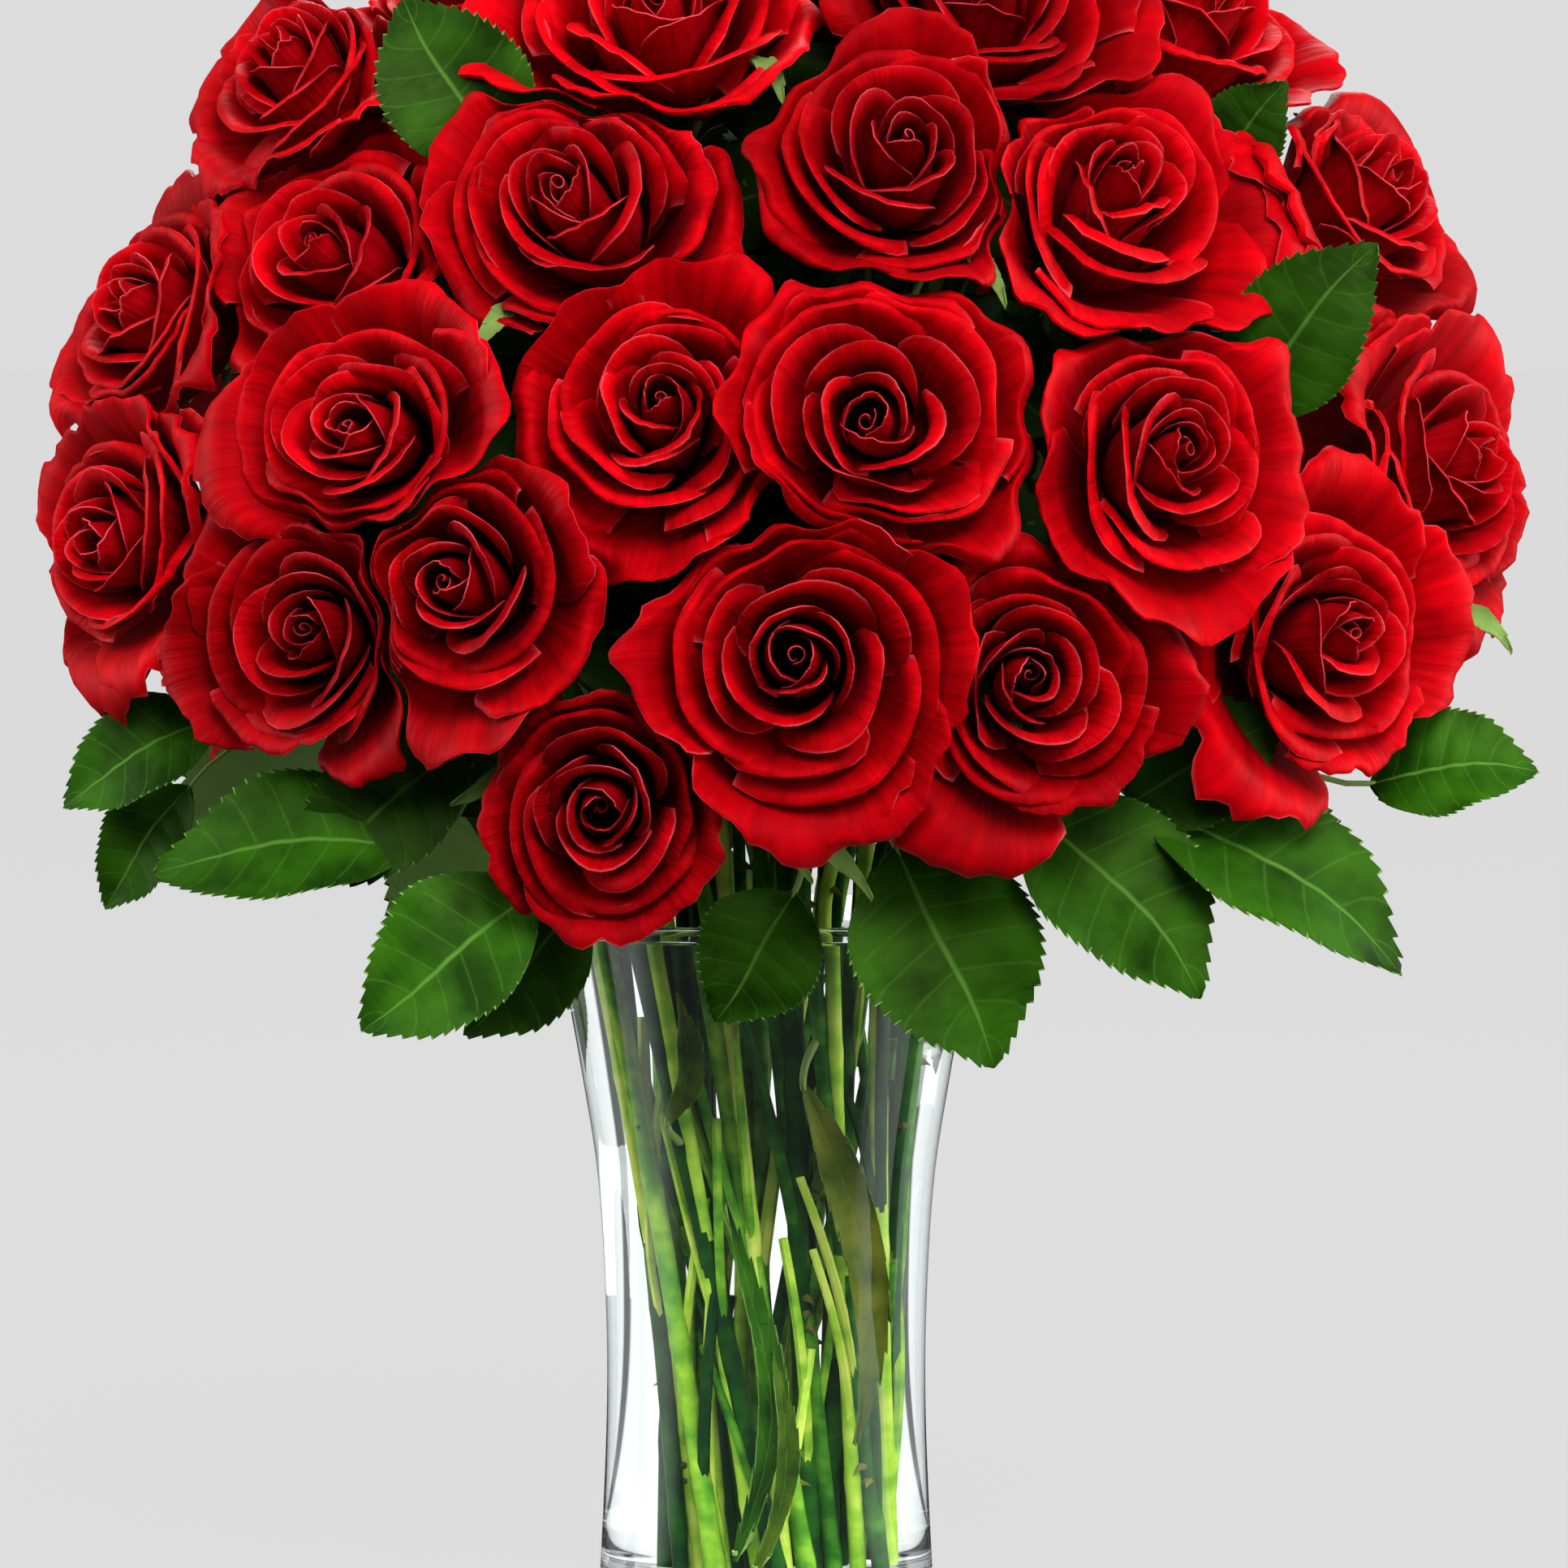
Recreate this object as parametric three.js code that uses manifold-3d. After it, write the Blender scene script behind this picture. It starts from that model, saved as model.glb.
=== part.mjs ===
// Three dozen long-stemmed red roses in a waisted clear glass vase, standing in water.
// Units are millimetres and +Z is up. The origin is the centre of the vase's underside.
// The bouquet faces -Y. Its flowers stand on a dome, and each faces along the dome's normal.
// Every flower is one solid of petals. Its stem, calyx and leaves are green solids, joined two by two
// where the stems of a pair lean on each other in the neck of the vase.
import * as THREE from "three";
import Module from "manifold-3d";

const wasm = await Module();
wasm.setup();
const { Manifold, Mesh } = wasm;

const vec = (x, y, z) => new THREE.Vector3(x, y, z);
const mix = (a, b, t) => a + (b - a) * t;
const radians = THREE.MathUtils.degToRad;

// Clearances and wall thicknesses
const GAP = 0.35;
const PETAL_THICKNESS = 1.0;
const LEAF_THICKNESS = 0.9;

// Vase: a heavy pressed-glass gathering vase, as [radius, height] from the foot up and back down inside
const VASE_HEIGHT = 203;
const VASE_FLOOR = 15;
const VASE_SIDES = 20;
const VASE_OUTSIDE = [
  [46.0, 0], [48.0, 2.5], [47.0, 18], [45.2, 60], [45.4, 92],
  [47.6, 128], [52.2, 158], [57.0, 184], [60.6, 200.5], [59.2, VASE_HEIGHT],
];
const VASE_INSIDE = [
  [56.4, 201.5], [52.6, 184], [47.6, 158], [42.6, 128],
  [40.2, 92], [39.8, 60], [40.6, 24], [38.5, VASE_FLOOR],
];
const WATER_LEVEL = 198;

// The dome that the flowers stand on. They turn a little further to the front, or to the back, than its
// normal does.
const DOME_CENTRE = vec(5, 0, 275);
const DOME_RADII = vec(200, 150, 212);
const FRONT_LIMIT = 30;
const FRONT_LEAN = vec(0, 42, -8);
const BACK_LEAN = vec(0, -30, -8);

// A flower's height, and where its middle is behind its face, as shares of its radius and of its height
const HEIGHT_PER_RADIUS = 1.36;
const MIDDLE_DEPTH = 0.42;

// Flowers press on each other: past a share of the way to a neighbour, distances towards it shrink smoothly
const PRESS_START = 0.64;
const PRESS_CLEARANCE = 0.8;
const PRESS_REACH = 1.5;

// Outer petals. Each row of points is at a share of the petal's length, with its half width as an angle and
// how far one side edge lies outside the other, as a share of the flower's radius.
const OUTER_PETALS = 5;
const OUTER_LAYER = 0.94;
const PETAL_CORNER = 0.14;
const CORNER_POWER = 2.2;
const PETAL_ACROSS = [-1, 0, 1];
const PETAL_ROWS = [
  { along: 0.58, halfAngle: 33, shift: 0.06 },
  { along: 1, halfAngle: 36, shift: 0.12 },
];

// The flower's heart: the cupped inner petals as a ring of lobes round the rolled bud. Each row is
// [radius, height, lobe] as shares of the flower's. The outer petals grow from between the first two rows.
const HEART = [
  [0.3, 0, 0],
  [0.37, 0.11, 0],
  [0.67, 0.84, 0.06],
  [0.47, 0.72, 0.05],
  [0.27, 1, 0.1],
  [0.09, 0.85, 0],
];
const HEART_SIDES = 2 * OUTER_PETALS;
const LOBE_DIP = 0.35;
const PETALS_AFTER = 0;

// Stems. Each pair has one slot in the vase's mouth. The pattern of slots is turned and shrunk down to the
// floor, so the stems lean past each other as in a hand-tied spiral.
const STEM_RADIUS = 2.4;
const STEM_TAPER = 0.08;
const STEM_SIDES = 5;
const STEM_FOOT = VASE_FLOOR + 1.6;
const WIDEST_LEAN = radians(80);
const SLOT_RADIUS = 38;
const SLOT_SPACING = 16.4;
const SLOT_ROUNDS = 300;
const SLOT_TWIST = radians(55);
const FLOOR_SCALE = 0.66;
const PAIR_HALF_GAP = 2.7;
const HOLE_RADIUS = STEM_RADIUS + GAP + 0.1;

// Above the mouth a stem bends on a cubic curve into its flower's axis: the lengths of the curve's handles,
// the shares of the curve where its points are, and how far stems and calyxes stay from each other.
const MOUTH_HANDLE = 0.4;
const NECK_HANDLE = 0.35;
const STEM_STEPS = [0, 0.3, 0.6, 0.85];
const STEM_APART = 2 * STEM_RADIUS + 1.6;
const CALYX_APART = 12;
const UNTANGLE_ROUNDS = 80;

// The calyx is the green swelling under the petals, and its five narrow sepals are folded back from it.
// Rows are [distance along the flower's axis from the foot, radius].
const CALYX_LENGTH = 9;
const CALYX = [[-5, 5.4], [-2.4, 6.0], [-0.2, 4.6]];
const SEPALS_AFTER = 0;
const SEPAL_LENGTH = 24;
const SEPAL_DROOP = 8;

// Leaves: a blade folded along its midrib and arched, with forward-pointing teeth, on a thin stalk
const LEAF_TEETH = 4;
const LEAF_NOTCH = 0.86;
const LEAF_ROUNDNESS = 0.75;
const LEAF_WIDEST = 0.82;
const LEAF_FOLD = 0.22;
const TOOTH_LEAN = 0.04;
const LEAF_BASE_HALF = 1.2;
const LEAF_TIP_HALF = 0.5;
const STALK_FROM = 2;
const STALK_SIDES = 4;
const STALK_RADII = [1.3, 0.9];
const STALK_OVERLAP = 3;

// Flowers: the middle of the face, the radius across the outer petals, and a turn about the axis in degrees.
// The first twenty-three show from the front, then three on the crown and ten behind.
const FLOWERS = [
  { at: [-137, -44, 446], radius: 32, spin: 20 },
  { at: [-34, -74, 466], radius: 42, spin: 75 },
  { at: [66, -66, 468], radius: 37, spin: 130 },
  { at: [130, -22, 466], radius: 38, spin: 10 },
  { at: [-53, -114, 409], radius: 42, spin: 200 },
  { at: [39, -114, 421], radius: 38, spin: 260 },
  { at: [101, -96, 408], radius: 39, spin: 320 },
  { at: [180, -34, 412], radius: 36, spin: 50 },
  { at: [-124, -88, 395], radius: 37, spin: 96 },
  { at: [-184, -36, 378], radius: 33, spin: 170 },
  { at: [-115, -116, 345], radius: 35, spin: 230 },
  { at: [-30, -138, 347], radius: 38, spin: 290 },
  { at: [34, -150, 350], radius: 42, spin: 350 },
  { at: [114, -124, 337], radius: 38, spin: 40 },
  { at: [203, -44, 331], radius: 38, spin: 100 },
  { at: [-192, -56, 313], radius: 34, spin: 160 },
  { at: [-132, -108, 286], radius: 35, spin: 220 },
  { at: [-86, -138, 301], radius: 36, spin: 293 },
  { at: [11, -154, 280], radius: 42, spin: 340 },
  { at: [76, -138, 272], radius: 37, spin: 25 },
  { at: [162, -98, 284], radius: 39, spin: 85 },
  { at: [-46, -143, 238], radius: 36, spin: 145 },
  { at: [-178, 12, 282], radius: 34, spin: 205 },
  { at: [-86, -2, 481], radius: 39, spin: 265 },
  { at: [12, -2, 496], radius: 40, spin: 325 },
  { at: [88, 36, 482], radius: 38, spin: 33 },
  { at: [-92, 76, 446], radius: 41, spin: 70 },
  { at: [-2, 98, 454], radius: 42, spin: 125 },
  { at: [92, 80, 440], radius: 40, spin: 204 },
  { at: [-140, 78, 376], radius: 42, spin: 240 },
  { at: [-46, 128, 377], radius: 43, spin: 300 },
  { at: [46, 130, 375], radius: 43, spin: 0 },
  { at: [142, 80, 368], radius: 42, spin: 55 },
  { at: [-96, 114, 294], radius: 42, spin: 115 },
  { at: [2, 136, 292], radius: 43, spin: 175 },
  { at: [108, 104, 290], radius: 42, spin: 235 },
];

// Leaves: the flower whose stem carries it, where the blade starts, where its tip is, the way its upper face
// looks, its width and how far it arches.
const LEAVES = [
  { stem: 21, base: [-62, -104, 217], tip: [-108, -112, 181], facing: [-0.2, -1, 0.5], width: 44, arch: 4 },
  { stem: 16, base: [-96, -92, 228], tip: [-166, -84, 222], facing: [0, -0.9, 0.8], width: 44, arch: 5 },
  { stem: 22, base: [-150, -44, 260], tip: [-194, -46, 236], facing: [-0.2, -1, 0.6], width: 32, arch: 4 },
  { stem: 22, base: [-160, -28, 240], tip: [-184, -30, 206], facing: [-0.2, -1, 0.4], width: 26, arch: 4 },
  { stem: 18, base: [8, -82, 215], tip: [-13, -86, 180], facing: [0.1, -1, 0.2], width: 36, arch: 4 },
  { stem: 18, base: [35, -88, 228], tip: [63, -98, 170], facing: [0.1, -1, 0.4], width: 54, arch: 4 },
  { stem: 19, base: [76, -84, 230], tip: [118, -92, 191], facing: [0.2, -1, 0.5], width: 40, arch: 4 },
  { stem: 20, base: [108, -76, 234], tip: [174, -84, 196], facing: [0.2, -0.9, 0.8], width: 42, arch: 5 },
  { stem: 14, base: [166, -50, 242], tip: [211, -58, 248], facing: [0.2, -0.9, 0.7], width: 36, arch: 5 },
  { stem: 14, base: [128, -62, 344], tip: [164, -76, 390], facing: [0, -1, 0.1], width: 38, arch: 4 },
  { stem: 7, base: [122, -38, 410], tip: [141, -52, 434], facing: [0.1, -1, 0.2], width: 26, arch: 3 },
  { stem: 0, base: [-74, -62, 412], tip: [-99, -56, 456], facing: [0.1, -1, 0.1], width: 34, arch: 2 },
  { stem: 33, base: [-66, 84, 222], tip: [-112, 100, 182], facing: [-0.2, 1, 0.5], width: 44, arch: 5 },
  { stem: 34, base: [-20, 92, 218], tip: [-28, 104, 164], facing: [0, 1, 0.4], width: 46, arch: 5 },
  { stem: 34, base: [40, 92, 222], tip: [64, 106, 170], facing: [0.1, 1, 0.5], width: 46, arch: 5 },
  { stem: 35, base: [110, 58, 232], tip: [176, 70, 206], facing: [0.4, 0.9, 0.8], width: 42, arch: 5 },
  { stem: 29, base: [-110, 62, 252], tip: [-176, 70, 222], facing: [-0.4, 0.9, 0.8], width: 42, arch: 5 },
];

// A closed solid from shared vertices and triangles; faces are turned outwards.
function solid(points, triangles) {
  const vertProperties = new Float32Array(points.flatMap((p) => [p.x, p.y, p.z]));
  const close = (corners) => {
    return new Manifold(new Mesh({ numProp: 3, vertProperties, triVerts: new Uint32Array(corners) }));
  };
  const made = close(triangles.flat());
  return made.volume() > 0 ? made : close(triangles.flatMap(([a, b, c]) => [a, c, b]));
}

// The largest single body of a union: a sealed hollow is filled and a loose scrap is dropped.
function fuse(solids) {
  const bodies = Manifold.union(solids).decompose();
  return bodies.reduce((best, body) => (body.volume() > best.volume() ? body : best));
}

function meshOf(made, name, colour, roughness) {
  const { numProp, vertProperties, triVerts } = made.getMesh();
  const count = vertProperties.length / numProp;
  const position = new Float32Array(count * 3);
  for (let i = 0; i < count; i++) {
    position.set(vertProperties.subarray(i * numProp, i * numProp + 3), i * 3);
  }
  const geometry = new THREE.BufferGeometry();
  geometry.setAttribute("position", new THREE.BufferAttribute(position, 3));
  geometry.setIndex(new THREE.BufferAttribute(new Uint32Array(triVerts), 1));
  geometry.computeVertexNormals();
  const material = new THREE.MeshStandardMaterial({ color: colour, roughness, metalness: 0 });
  const mesh = new THREE.Mesh(geometry, material);
  mesh.name = name;
  return mesh;
}

// Rings of points joined side by side, with a flat cap at each end. Where spikes are given, the faces between
// that ring and the next are drawn out to points.
function ringSolid(rings, spikes = { after: -1, tips: [] }) {
  const sides = rings[0].length;
  const tipStart = rings.length * sides;
  const triangles = [];
  for (let i = 0; i + 1 < rings.length; i++) {
    for (let j = 0; j < sides; j++) {
      const [a, b] = [i * sides + j, i * sides + ((j + 1) % sides)];
      const [c, d] = [b + sides, a + sides];
      const tip = tipStart + j;
      if (i === spikes.after) triangles.push([a, b, tip], [b, c, tip], [c, d, tip], [d, a, tip]);
      else triangles.push([a, b, c], [a, c, d]);
    }
  }
  const last = (rings.length - 1) * sides;
  for (let j = 1; j + 1 < sides; j++) triangles.push([0, j + 1, j], [last, last + j, last + j + 1]);
  return solid([...rings.flat(), ...spikes.tips], triangles);
}

// The rings of a tube along points, with a radius at each; the section is carried along without twisting.
function tubeRings(points, radii, sides) {
  let side = null;
  return points.map((p, i) => {
    const before = points[Math.max(i - 1, 0)];
    const after = points[Math.min(i + 1, points.length - 1)];
    const along = after.clone().sub(before).normalize();
    const start = side ?? (Math.abs(along.x) < 0.9 ? vec(1, 0, 0) : vec(0, 1, 0));
    side = start.clone().addScaledVector(along, -start.dot(along)).normalize();
    const other = along.clone().cross(side);
    return Array.from({ length: sides }, (_, j) => {
      const angle = (2 * Math.PI * j) / sides;
      return p.clone()
        .addScaledVector(side, radii[i] * Math.cos(angle))
        .addScaledVector(other, radii[i] * Math.sin(angle));
    });
  });
}

const tube = (points, radii, sides) => ringSolid(tubeRings(points, radii, sides));

// A turned solid from a profile of [radius, height] that starts and ends on the axis.
function turned(profile, sides) {
  const outline = profile.map(([r, z]) => new THREE.Vector2(r, z));
  const geometry = new THREE.LatheGeometry(outline, sides);
  geometry.rotateX(Math.PI / 2);
  const position = geometry.getAttribute("position");
  const points = [];
  const seen = new Map();
  const shared = Array.from({ length: position.count }, (_, i) => {
    const p = vec(position.getX(i), position.getY(i), position.getZ(i));
    const key = [p.x, p.y, p.z].map((c) => Math.round(c * 1e3)).join();
    if (!seen.has(key)) seen.set(key, points.push(p) - 1);
    return seen.get(key);
  });
  const index = geometry.getIndex().array;
  const triangles = [];
  for (let i = 0; i < index.length; i += 3) {
    const [a, b, c] = [shared[index[i]], shared[index[i + 1]], shared[index[i + 2]]];
    if (a !== b && b !== c && c !== a) triangles.push([a, b, c]);
  }
  return solid(points, triangles);
}

// A thin plate from a grid of points: both faces are split alike, and the edge is closed.
function plate(grid, offset) {
  const [rows, columns] = [grid.length, grid[0].length];
  const count = rows * columns;
  const at = (i, j) => i * columns + j;
  const front = grid.flat().map((p) => p.clone().add(offset));
  const back = grid.flat().map((p) => p.clone().sub(offset));
  const triangles = [];
  for (let i = 0; i + 1 < rows; i++) {
    for (let j = 0; j + 1 < columns; j++) {
      const cell = [[at(i, j), at(i, j + 1), at(i + 1, j + 1)], [at(i, j), at(i + 1, j + 1), at(i + 1, j)]];
      cell.forEach(([a, b, c]) => triangles.push([a, b, c], [a + count, c + count, b + count]));
    }
  }
  const rim = [];
  for (let j = 0; j + 1 < columns; j++) rim.push([at(0, j), at(0, j + 1)]);
  for (let i = 0; i + 1 < rows; i++) rim.push([at(i, columns - 1), at(i + 1, columns - 1)]);
  for (let j = columns - 1; j > 0; j--) rim.push([at(rows - 1, j), at(rows - 1, j - 1)]);
  for (let i = rows - 1; i > 0; i--) rim.push([at(i, 0), at(i - 1, 0)]);
  rim.forEach(([a, b]) => triangles.push([b, a, a + count], [b, a + count, b + count]));
  return solid([...front, ...back], triangles);
}

// A flower's own frame: axis along the dome's normal, and its foot one flower height behind its face.
function place(flower) {
  const face = vec(...flower.at);
  const lean = face.y > FRONT_LIMIT ? BACK_LEAN : FRONT_LEAN;
  const axis = face.clone().sub(DOME_CENTRE).sub(lean).divide(DOME_RADII).divide(DOME_RADII).normalize();
  const height = flower.radius * HEIGHT_PER_RADIUS;
  const foot = face.clone().addScaledVector(axis, -height);
  const middle = face.clone().addScaledVector(axis, -MIDDLE_DEPTH * height);
  const across = vec(0, 0, 1).cross(axis).normalize();
  const up = axis.clone().cross(across);
  return { ...flower, axis, foot, middle, across, up, height };
}
const flowers = FLOWERS.map(place);

// A point at a distance from the flower's axis, in a direction round it, and so far along it from the foot.
function flowerPoint(flower, radius, angle, along) {
  return flower.foot.clone()
    .addScaledVector(flower.across, radius * Math.cos(angle))
    .addScaledVector(flower.up, radius * Math.sin(angle))
    .addScaledVector(flower.axis, along);
}

// Where a flower's point goes as its neighbours press on it: it never reaches the plane between the two.
function pressed(point, own) {
  const p = point.clone();
  for (const other of flowers) {
    if (other === own) continue;
    const way = other.middle.clone().sub(own.middle);
    const distance = way.length();
    if (distance > PRESS_REACH * (own.radius + other.radius)) continue;
    way.divideScalar(distance);
    const limit = (distance * own.radius) / (own.radius + other.radius) - PRESS_CLEARANCE;
    const start = PRESS_START * limit;
    const reach = p.clone().sub(own.middle).dot(way);
    if (reach <= start) continue;
    const room = limit - start;
    p.addScaledVector(way, start + room * (1 - Math.exp((start - reach) / room)) - reach);
  }
  return p;
}

// A petal's middle line in [radius, height] as shares of the flower's: a cubic curve from foot to rim.
// layer is 0 for the bud's own petals and 1 for the outermost, whose rims roll outwards.
function petalLine(layer, t) {
  const r = [0.1, mix(0.16, 1.0, layer), mix(0.24, 0.9, layer), mix(0.07, 1.28, layer)];
  const z = [0.0, mix(0.1, 0.04, layer), mix(0.62, 0.88, layer), mix(0.98, 0.76, layer)];
  const [a, b, c, d] = [(1 - t) ** 3, 3 * t * (1 - t) ** 2, 3 * t * t * (1 - t), t ** 3];
  return [a * r[0] + b * r[1] + c * r[2] + d * r[3], a * z[0] + b * z[1] + c * z[2] + d * z[3]];
}

// A point of an outer petal: across is -1 to 1 over its width. One side edge lies outside the next petal, and
// the other inside the petal before.
function petalPoint(flower, turn, { along, halfAngle, shift }, across) {
  const outline = 1 - PETAL_CORNER * Math.abs(across) ** CORNER_POWER;
  const [r, z] = petalLine(OUTER_LAYER, along * outline);
  const radius = (r + shift * across) * flower.radius;
  return flowerPoint(flower, radius, turn + across * radians(halfAngle), z * flower.height + GAP);
}

// The rows of an outer petal, from the inside out, as points half a thickness to each side of its middle.
function petalFaces(flower, turn, root) {
  const middle = PETAL_ROWS.map((row) =>
    PETAL_ACROSS.map((across) => pressed(petalPoint(flower, turn, row, across), flower)));
  const rows = [root, ...middle];
  const at = (i, j) => rows[Math.min(i, rows.length - 1)][Math.min(Math.max(j, 0), 2)];
  return middle.map((row, i) => row.map((point, j) => {
    const outward = at(i + 2, j).clone().sub(at(i, j));
    const sideways = at(i + 1, j + 1).clone().sub(at(i + 1, j - 1));
    const half = outward.cross(sideways).setLength(PETAL_THICKNESS / 2);
    return { lower: point.clone().sub(half), upper: point.clone().add(half) };
  }));
}

// One flower as a closed surface: the rings of its heart, with the outer petals grown between two of them.
function bloom(flower) {
  const points = [];
  const add = (p) => points.push(p) - 1;
  const triangles = [];
  const quad = (a, b, c, d, otherWay = false) =>
    triangles.push(...(otherWay ? [[a, b, d], [b, c, d]] : [[a, b, c], [a, c, d]]));

  const rings = HEART.map(([r, z, lobe], i) => Array.from({ length: HEART_SIDES }, (_, j) => {
    const angle = radians(flower.spin) + (2 * Math.PI * (j - 1)) / HEART_SIDES;
    const wave = 1 + lobe * ((i + j) % 2 ? 1 : -1);
    const along = z * (1 - LOBE_DIP * (wave - 1)) * flower.height + GAP;
    return add(pressed(flowerPoint(flower, r * wave * flower.radius, angle, along), flower));
  }));
  for (let i = 0; i + 1 < rings.length; i++) {
    if (i === PETALS_AFTER) continue;
    for (let j = 0; j < HEART_SIDES; j++) {
      const next = (j + 1) % HEART_SIDES;
      quad(rings[i][j], rings[i][next], rings[i + 1][next], rings[i + 1][j]);
    }
  }
  const [foot, crown] = [rings[0], rings.at(-1)];
  for (let j = 1; j + 1 < HEART_SIDES; j++) {
    triangles.push([foot[0], foot[j + 1], foot[j]], [crown[0], crown[j], crown[j + 1]]);
  }

  for (let k = 0; k < OUTER_PETALS; k++) {
    const root = PETAL_ACROSS.map((_, c) => (2 * k + c) % HEART_SIDES);
    const [below, above] = [rings[PETALS_AFTER], rings[PETALS_AFTER + 1]];
    const turn = radians(flower.spin + (360 * k) / OUTER_PETALS);
    const faces = petalFaces(flower, turn, root.map((j) => points[below[j]]));
    const lower = [root.map((j) => below[j]), ...faces.map((row) => row.map((f) => add(f.lower)))];
    const upper = [root.map((j) => above[j]), ...faces.map((row) => row.map((f) => add(f.upper)))];
    const rim = lower.length - 1;
    for (const c of [0, 1]) {
      for (let i = 0; i < rim; i++) {
        quad(lower[i][c], lower[i][c + 1], lower[i + 1][c + 1], lower[i + 1][c], true);
        quad(upper[i + 1][c], upper[i + 1][c + 1], upper[i][c + 1], upper[i][c]);
      }
      quad(lower[rim][c], lower[rim][c + 1], upper[rim][c + 1], upper[rim][c]);
    }
    for (let i = 0; i < rim; i++) {
      quad(lower[i][0], lower[i + 1][0], upper[i + 1][0], upper[i][0]);
      quad(lower[i][2], upper[i][2], upper[i + 1][2], lower[i + 1][2]);
    }
  }
  return solid(points, triangles);
}

// A flower's mesh stands in its own frame, at its foot and turned to its axis.
function bloomMesh(flower, k) {
  const mesh = meshOf(bloom(flower), `rose_${String(k + 1).padStart(2, "0")}`, 0xb5030f, 0.55);
  const frame = new THREE.Matrix4().makeBasis(flower.across, flower.up, flower.axis).setPosition(flower.foot);
  mesh.geometry.applyMatrix4(frame.clone().invert());
  mesh.applyMatrix4(frame);
  return mesh;
}

// Two flowers whose stems lean on each other in the vase's neck. Pairs swap partners until no swap brings
// partners nearer to each other.
function pairUp() {
  const apart = (a, b) => flowers[a].foot.distanceTo(flowers[b].foot);
  const least = 0.01;
  const pairs = Array.from({ length: flowers.length / 2 }, (_, k) => [2 * k, 2 * k + 1]);
  for (let changed = true; changed;) {
    changed = false;
    for (const one of pairs) {
      for (const two of pairs) {
        if (one === two) continue;
        const [[a, b], [c, d]] = [one, two];
        if (apart(a, c) + apart(b, d) >= apart(a, b) + apart(c, d) - least) continue;
        [one[1], two[0]] = [c, b];
        changed = true;
      }
    }
  }
  return pairs;
}
const PAIRS = pairUp();

// Stem slots in the vase's mouth: each pair starts in the direction of its flowers, and slots push apart
// until they are a spacing from each other.
function slots() {
  const mouth = vec(0, 0, VASE_HEIGHT);
  const places = PAIRS.map((pair) => {
    const ways = pair.map((k) => flowers[k].foot.clone().sub(mouth).normalize());
    const toward = ways[0].add(ways[1]);
    const lean = Math.atan2(Math.hypot(toward.x, toward.y), toward.z);
    const way = Math.atan2(toward.y, toward.x);
    const reach = Math.min(1, lean / WIDEST_LEAN) * SLOT_RADIUS;
    return new THREE.Vector2(reach * Math.cos(way), reach * Math.sin(way));
  });
  for (let round = 0; round < SLOT_ROUNDS; round++) {
    for (const [i, one] of places.entries()) {
      for (const two of places.slice(i + 1)) {
        const apart = two.clone().sub(one);
        const short = SLOT_SPACING - apart.length();
        if (short <= 0) continue;
        apart.setLength(short / 2);
        one.sub(apart);
        two.add(apart);
      }
    }
    places.forEach((p) => p.clampLength(0, SLOT_RADIUS));
  }
  return places;
}
const stemSlots = slots();

// The straight run of each stem in the vase, from its foot to the mouth. The two of a pair swap sides.
function run(pairIndex, member) {
  const slot = stemSlots[pairIndex];
  const offset = member === 0 ? PAIR_HALF_GAP : -PAIR_HALF_GAP;
  const [first, second] = PAIRS[pairIndex].map((k) => flowers[k].foot);
  const spread = new THREE.Vector2(first.x - second.x, first.y - second.y).normalize();
  const top = slot.clone().addScaledVector(spread, offset);
  const floor = slot.clone().rotateAround(new THREE.Vector2(), SLOT_TWIST).multiplyScalar(FLOOR_SCALE);
  floor.addScaledVector(spread, -offset);
  return { top: vec(top.x, top.y, VASE_HEIGHT), floor: vec(floor.x, floor.y, STEM_FOOT) };
}

function stemCurve(pairIndex, member) {
  const flower = flowers[PAIRS[pairIndex][member]];
  const { top, floor } = run(pairIndex, member);
  const neck = flower.foot.clone().addScaledVector(flower.axis, -CALYX_LENGTH);
  const length = neck.distanceTo(top);
  const curve = new THREE.CubicBezierCurve3(
    top,
    top.clone().addScaledVector(top.clone().sub(floor).normalize(), MOUTH_HANDLE * length),
    neck.clone().addScaledVector(flower.axis, -NECK_HANDLE * length),
    neck,
  );
  return { flower, pairIndex, floor, points: [...STEM_STEPS.map((t) => curve.getPoint(t)), neck] };
}

// The nearest points of two straight pieces, as shares of their lengths.
function nearestShares(a, b, c, d) {
  const [u, v, w] = [b.clone().sub(a), d.clone().sub(c), a.clone().sub(c)];
  const [uu, uv, vv, uw, vw] = [u.dot(u), u.dot(v), v.dot(v), u.dot(w), v.dot(w)];
  const share = (x) => Math.min(1, Math.max(0, x));
  const crossing = Math.max(uu * vv - uv * uv, 1e-9);
  const t = share((uv * share((uv * vw - vv * uw) / crossing) + vw) / vv);
  return [share((uv * t - uw) / uu), t];
}

// Two straight pieces of different stems push apart. The mouth and the calyx stay where they are.
function pushApart(one, m, two, n) {
  const [a, b, c, d] = [one.points[m], one.points[m + 1], two.points[n], two.points[n + 1]];
  const [s, t] = nearestShares(a, b, c, d);
  const way = c.clone().lerp(d, t).sub(a.clone().lerp(b, s));
  const [atNeck, atOtherNeck] = [m + 2 === one.points.length, n + 2 === two.points.length];
  const short = (atNeck || atOtherNeck ? CALYX_APART : STEM_APART) - way.length();
  if (short <= 0) return;
  way.setLength(short / 2);
  if (m > 0) a.addScaledVector(way, s - 1);
  if (!atNeck) b.addScaledVector(way, -s);
  if (n > 0) c.addScaledVector(way, 1 - t);
  if (!atOtherNeck) d.addScaledVector(way, t);
}

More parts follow.
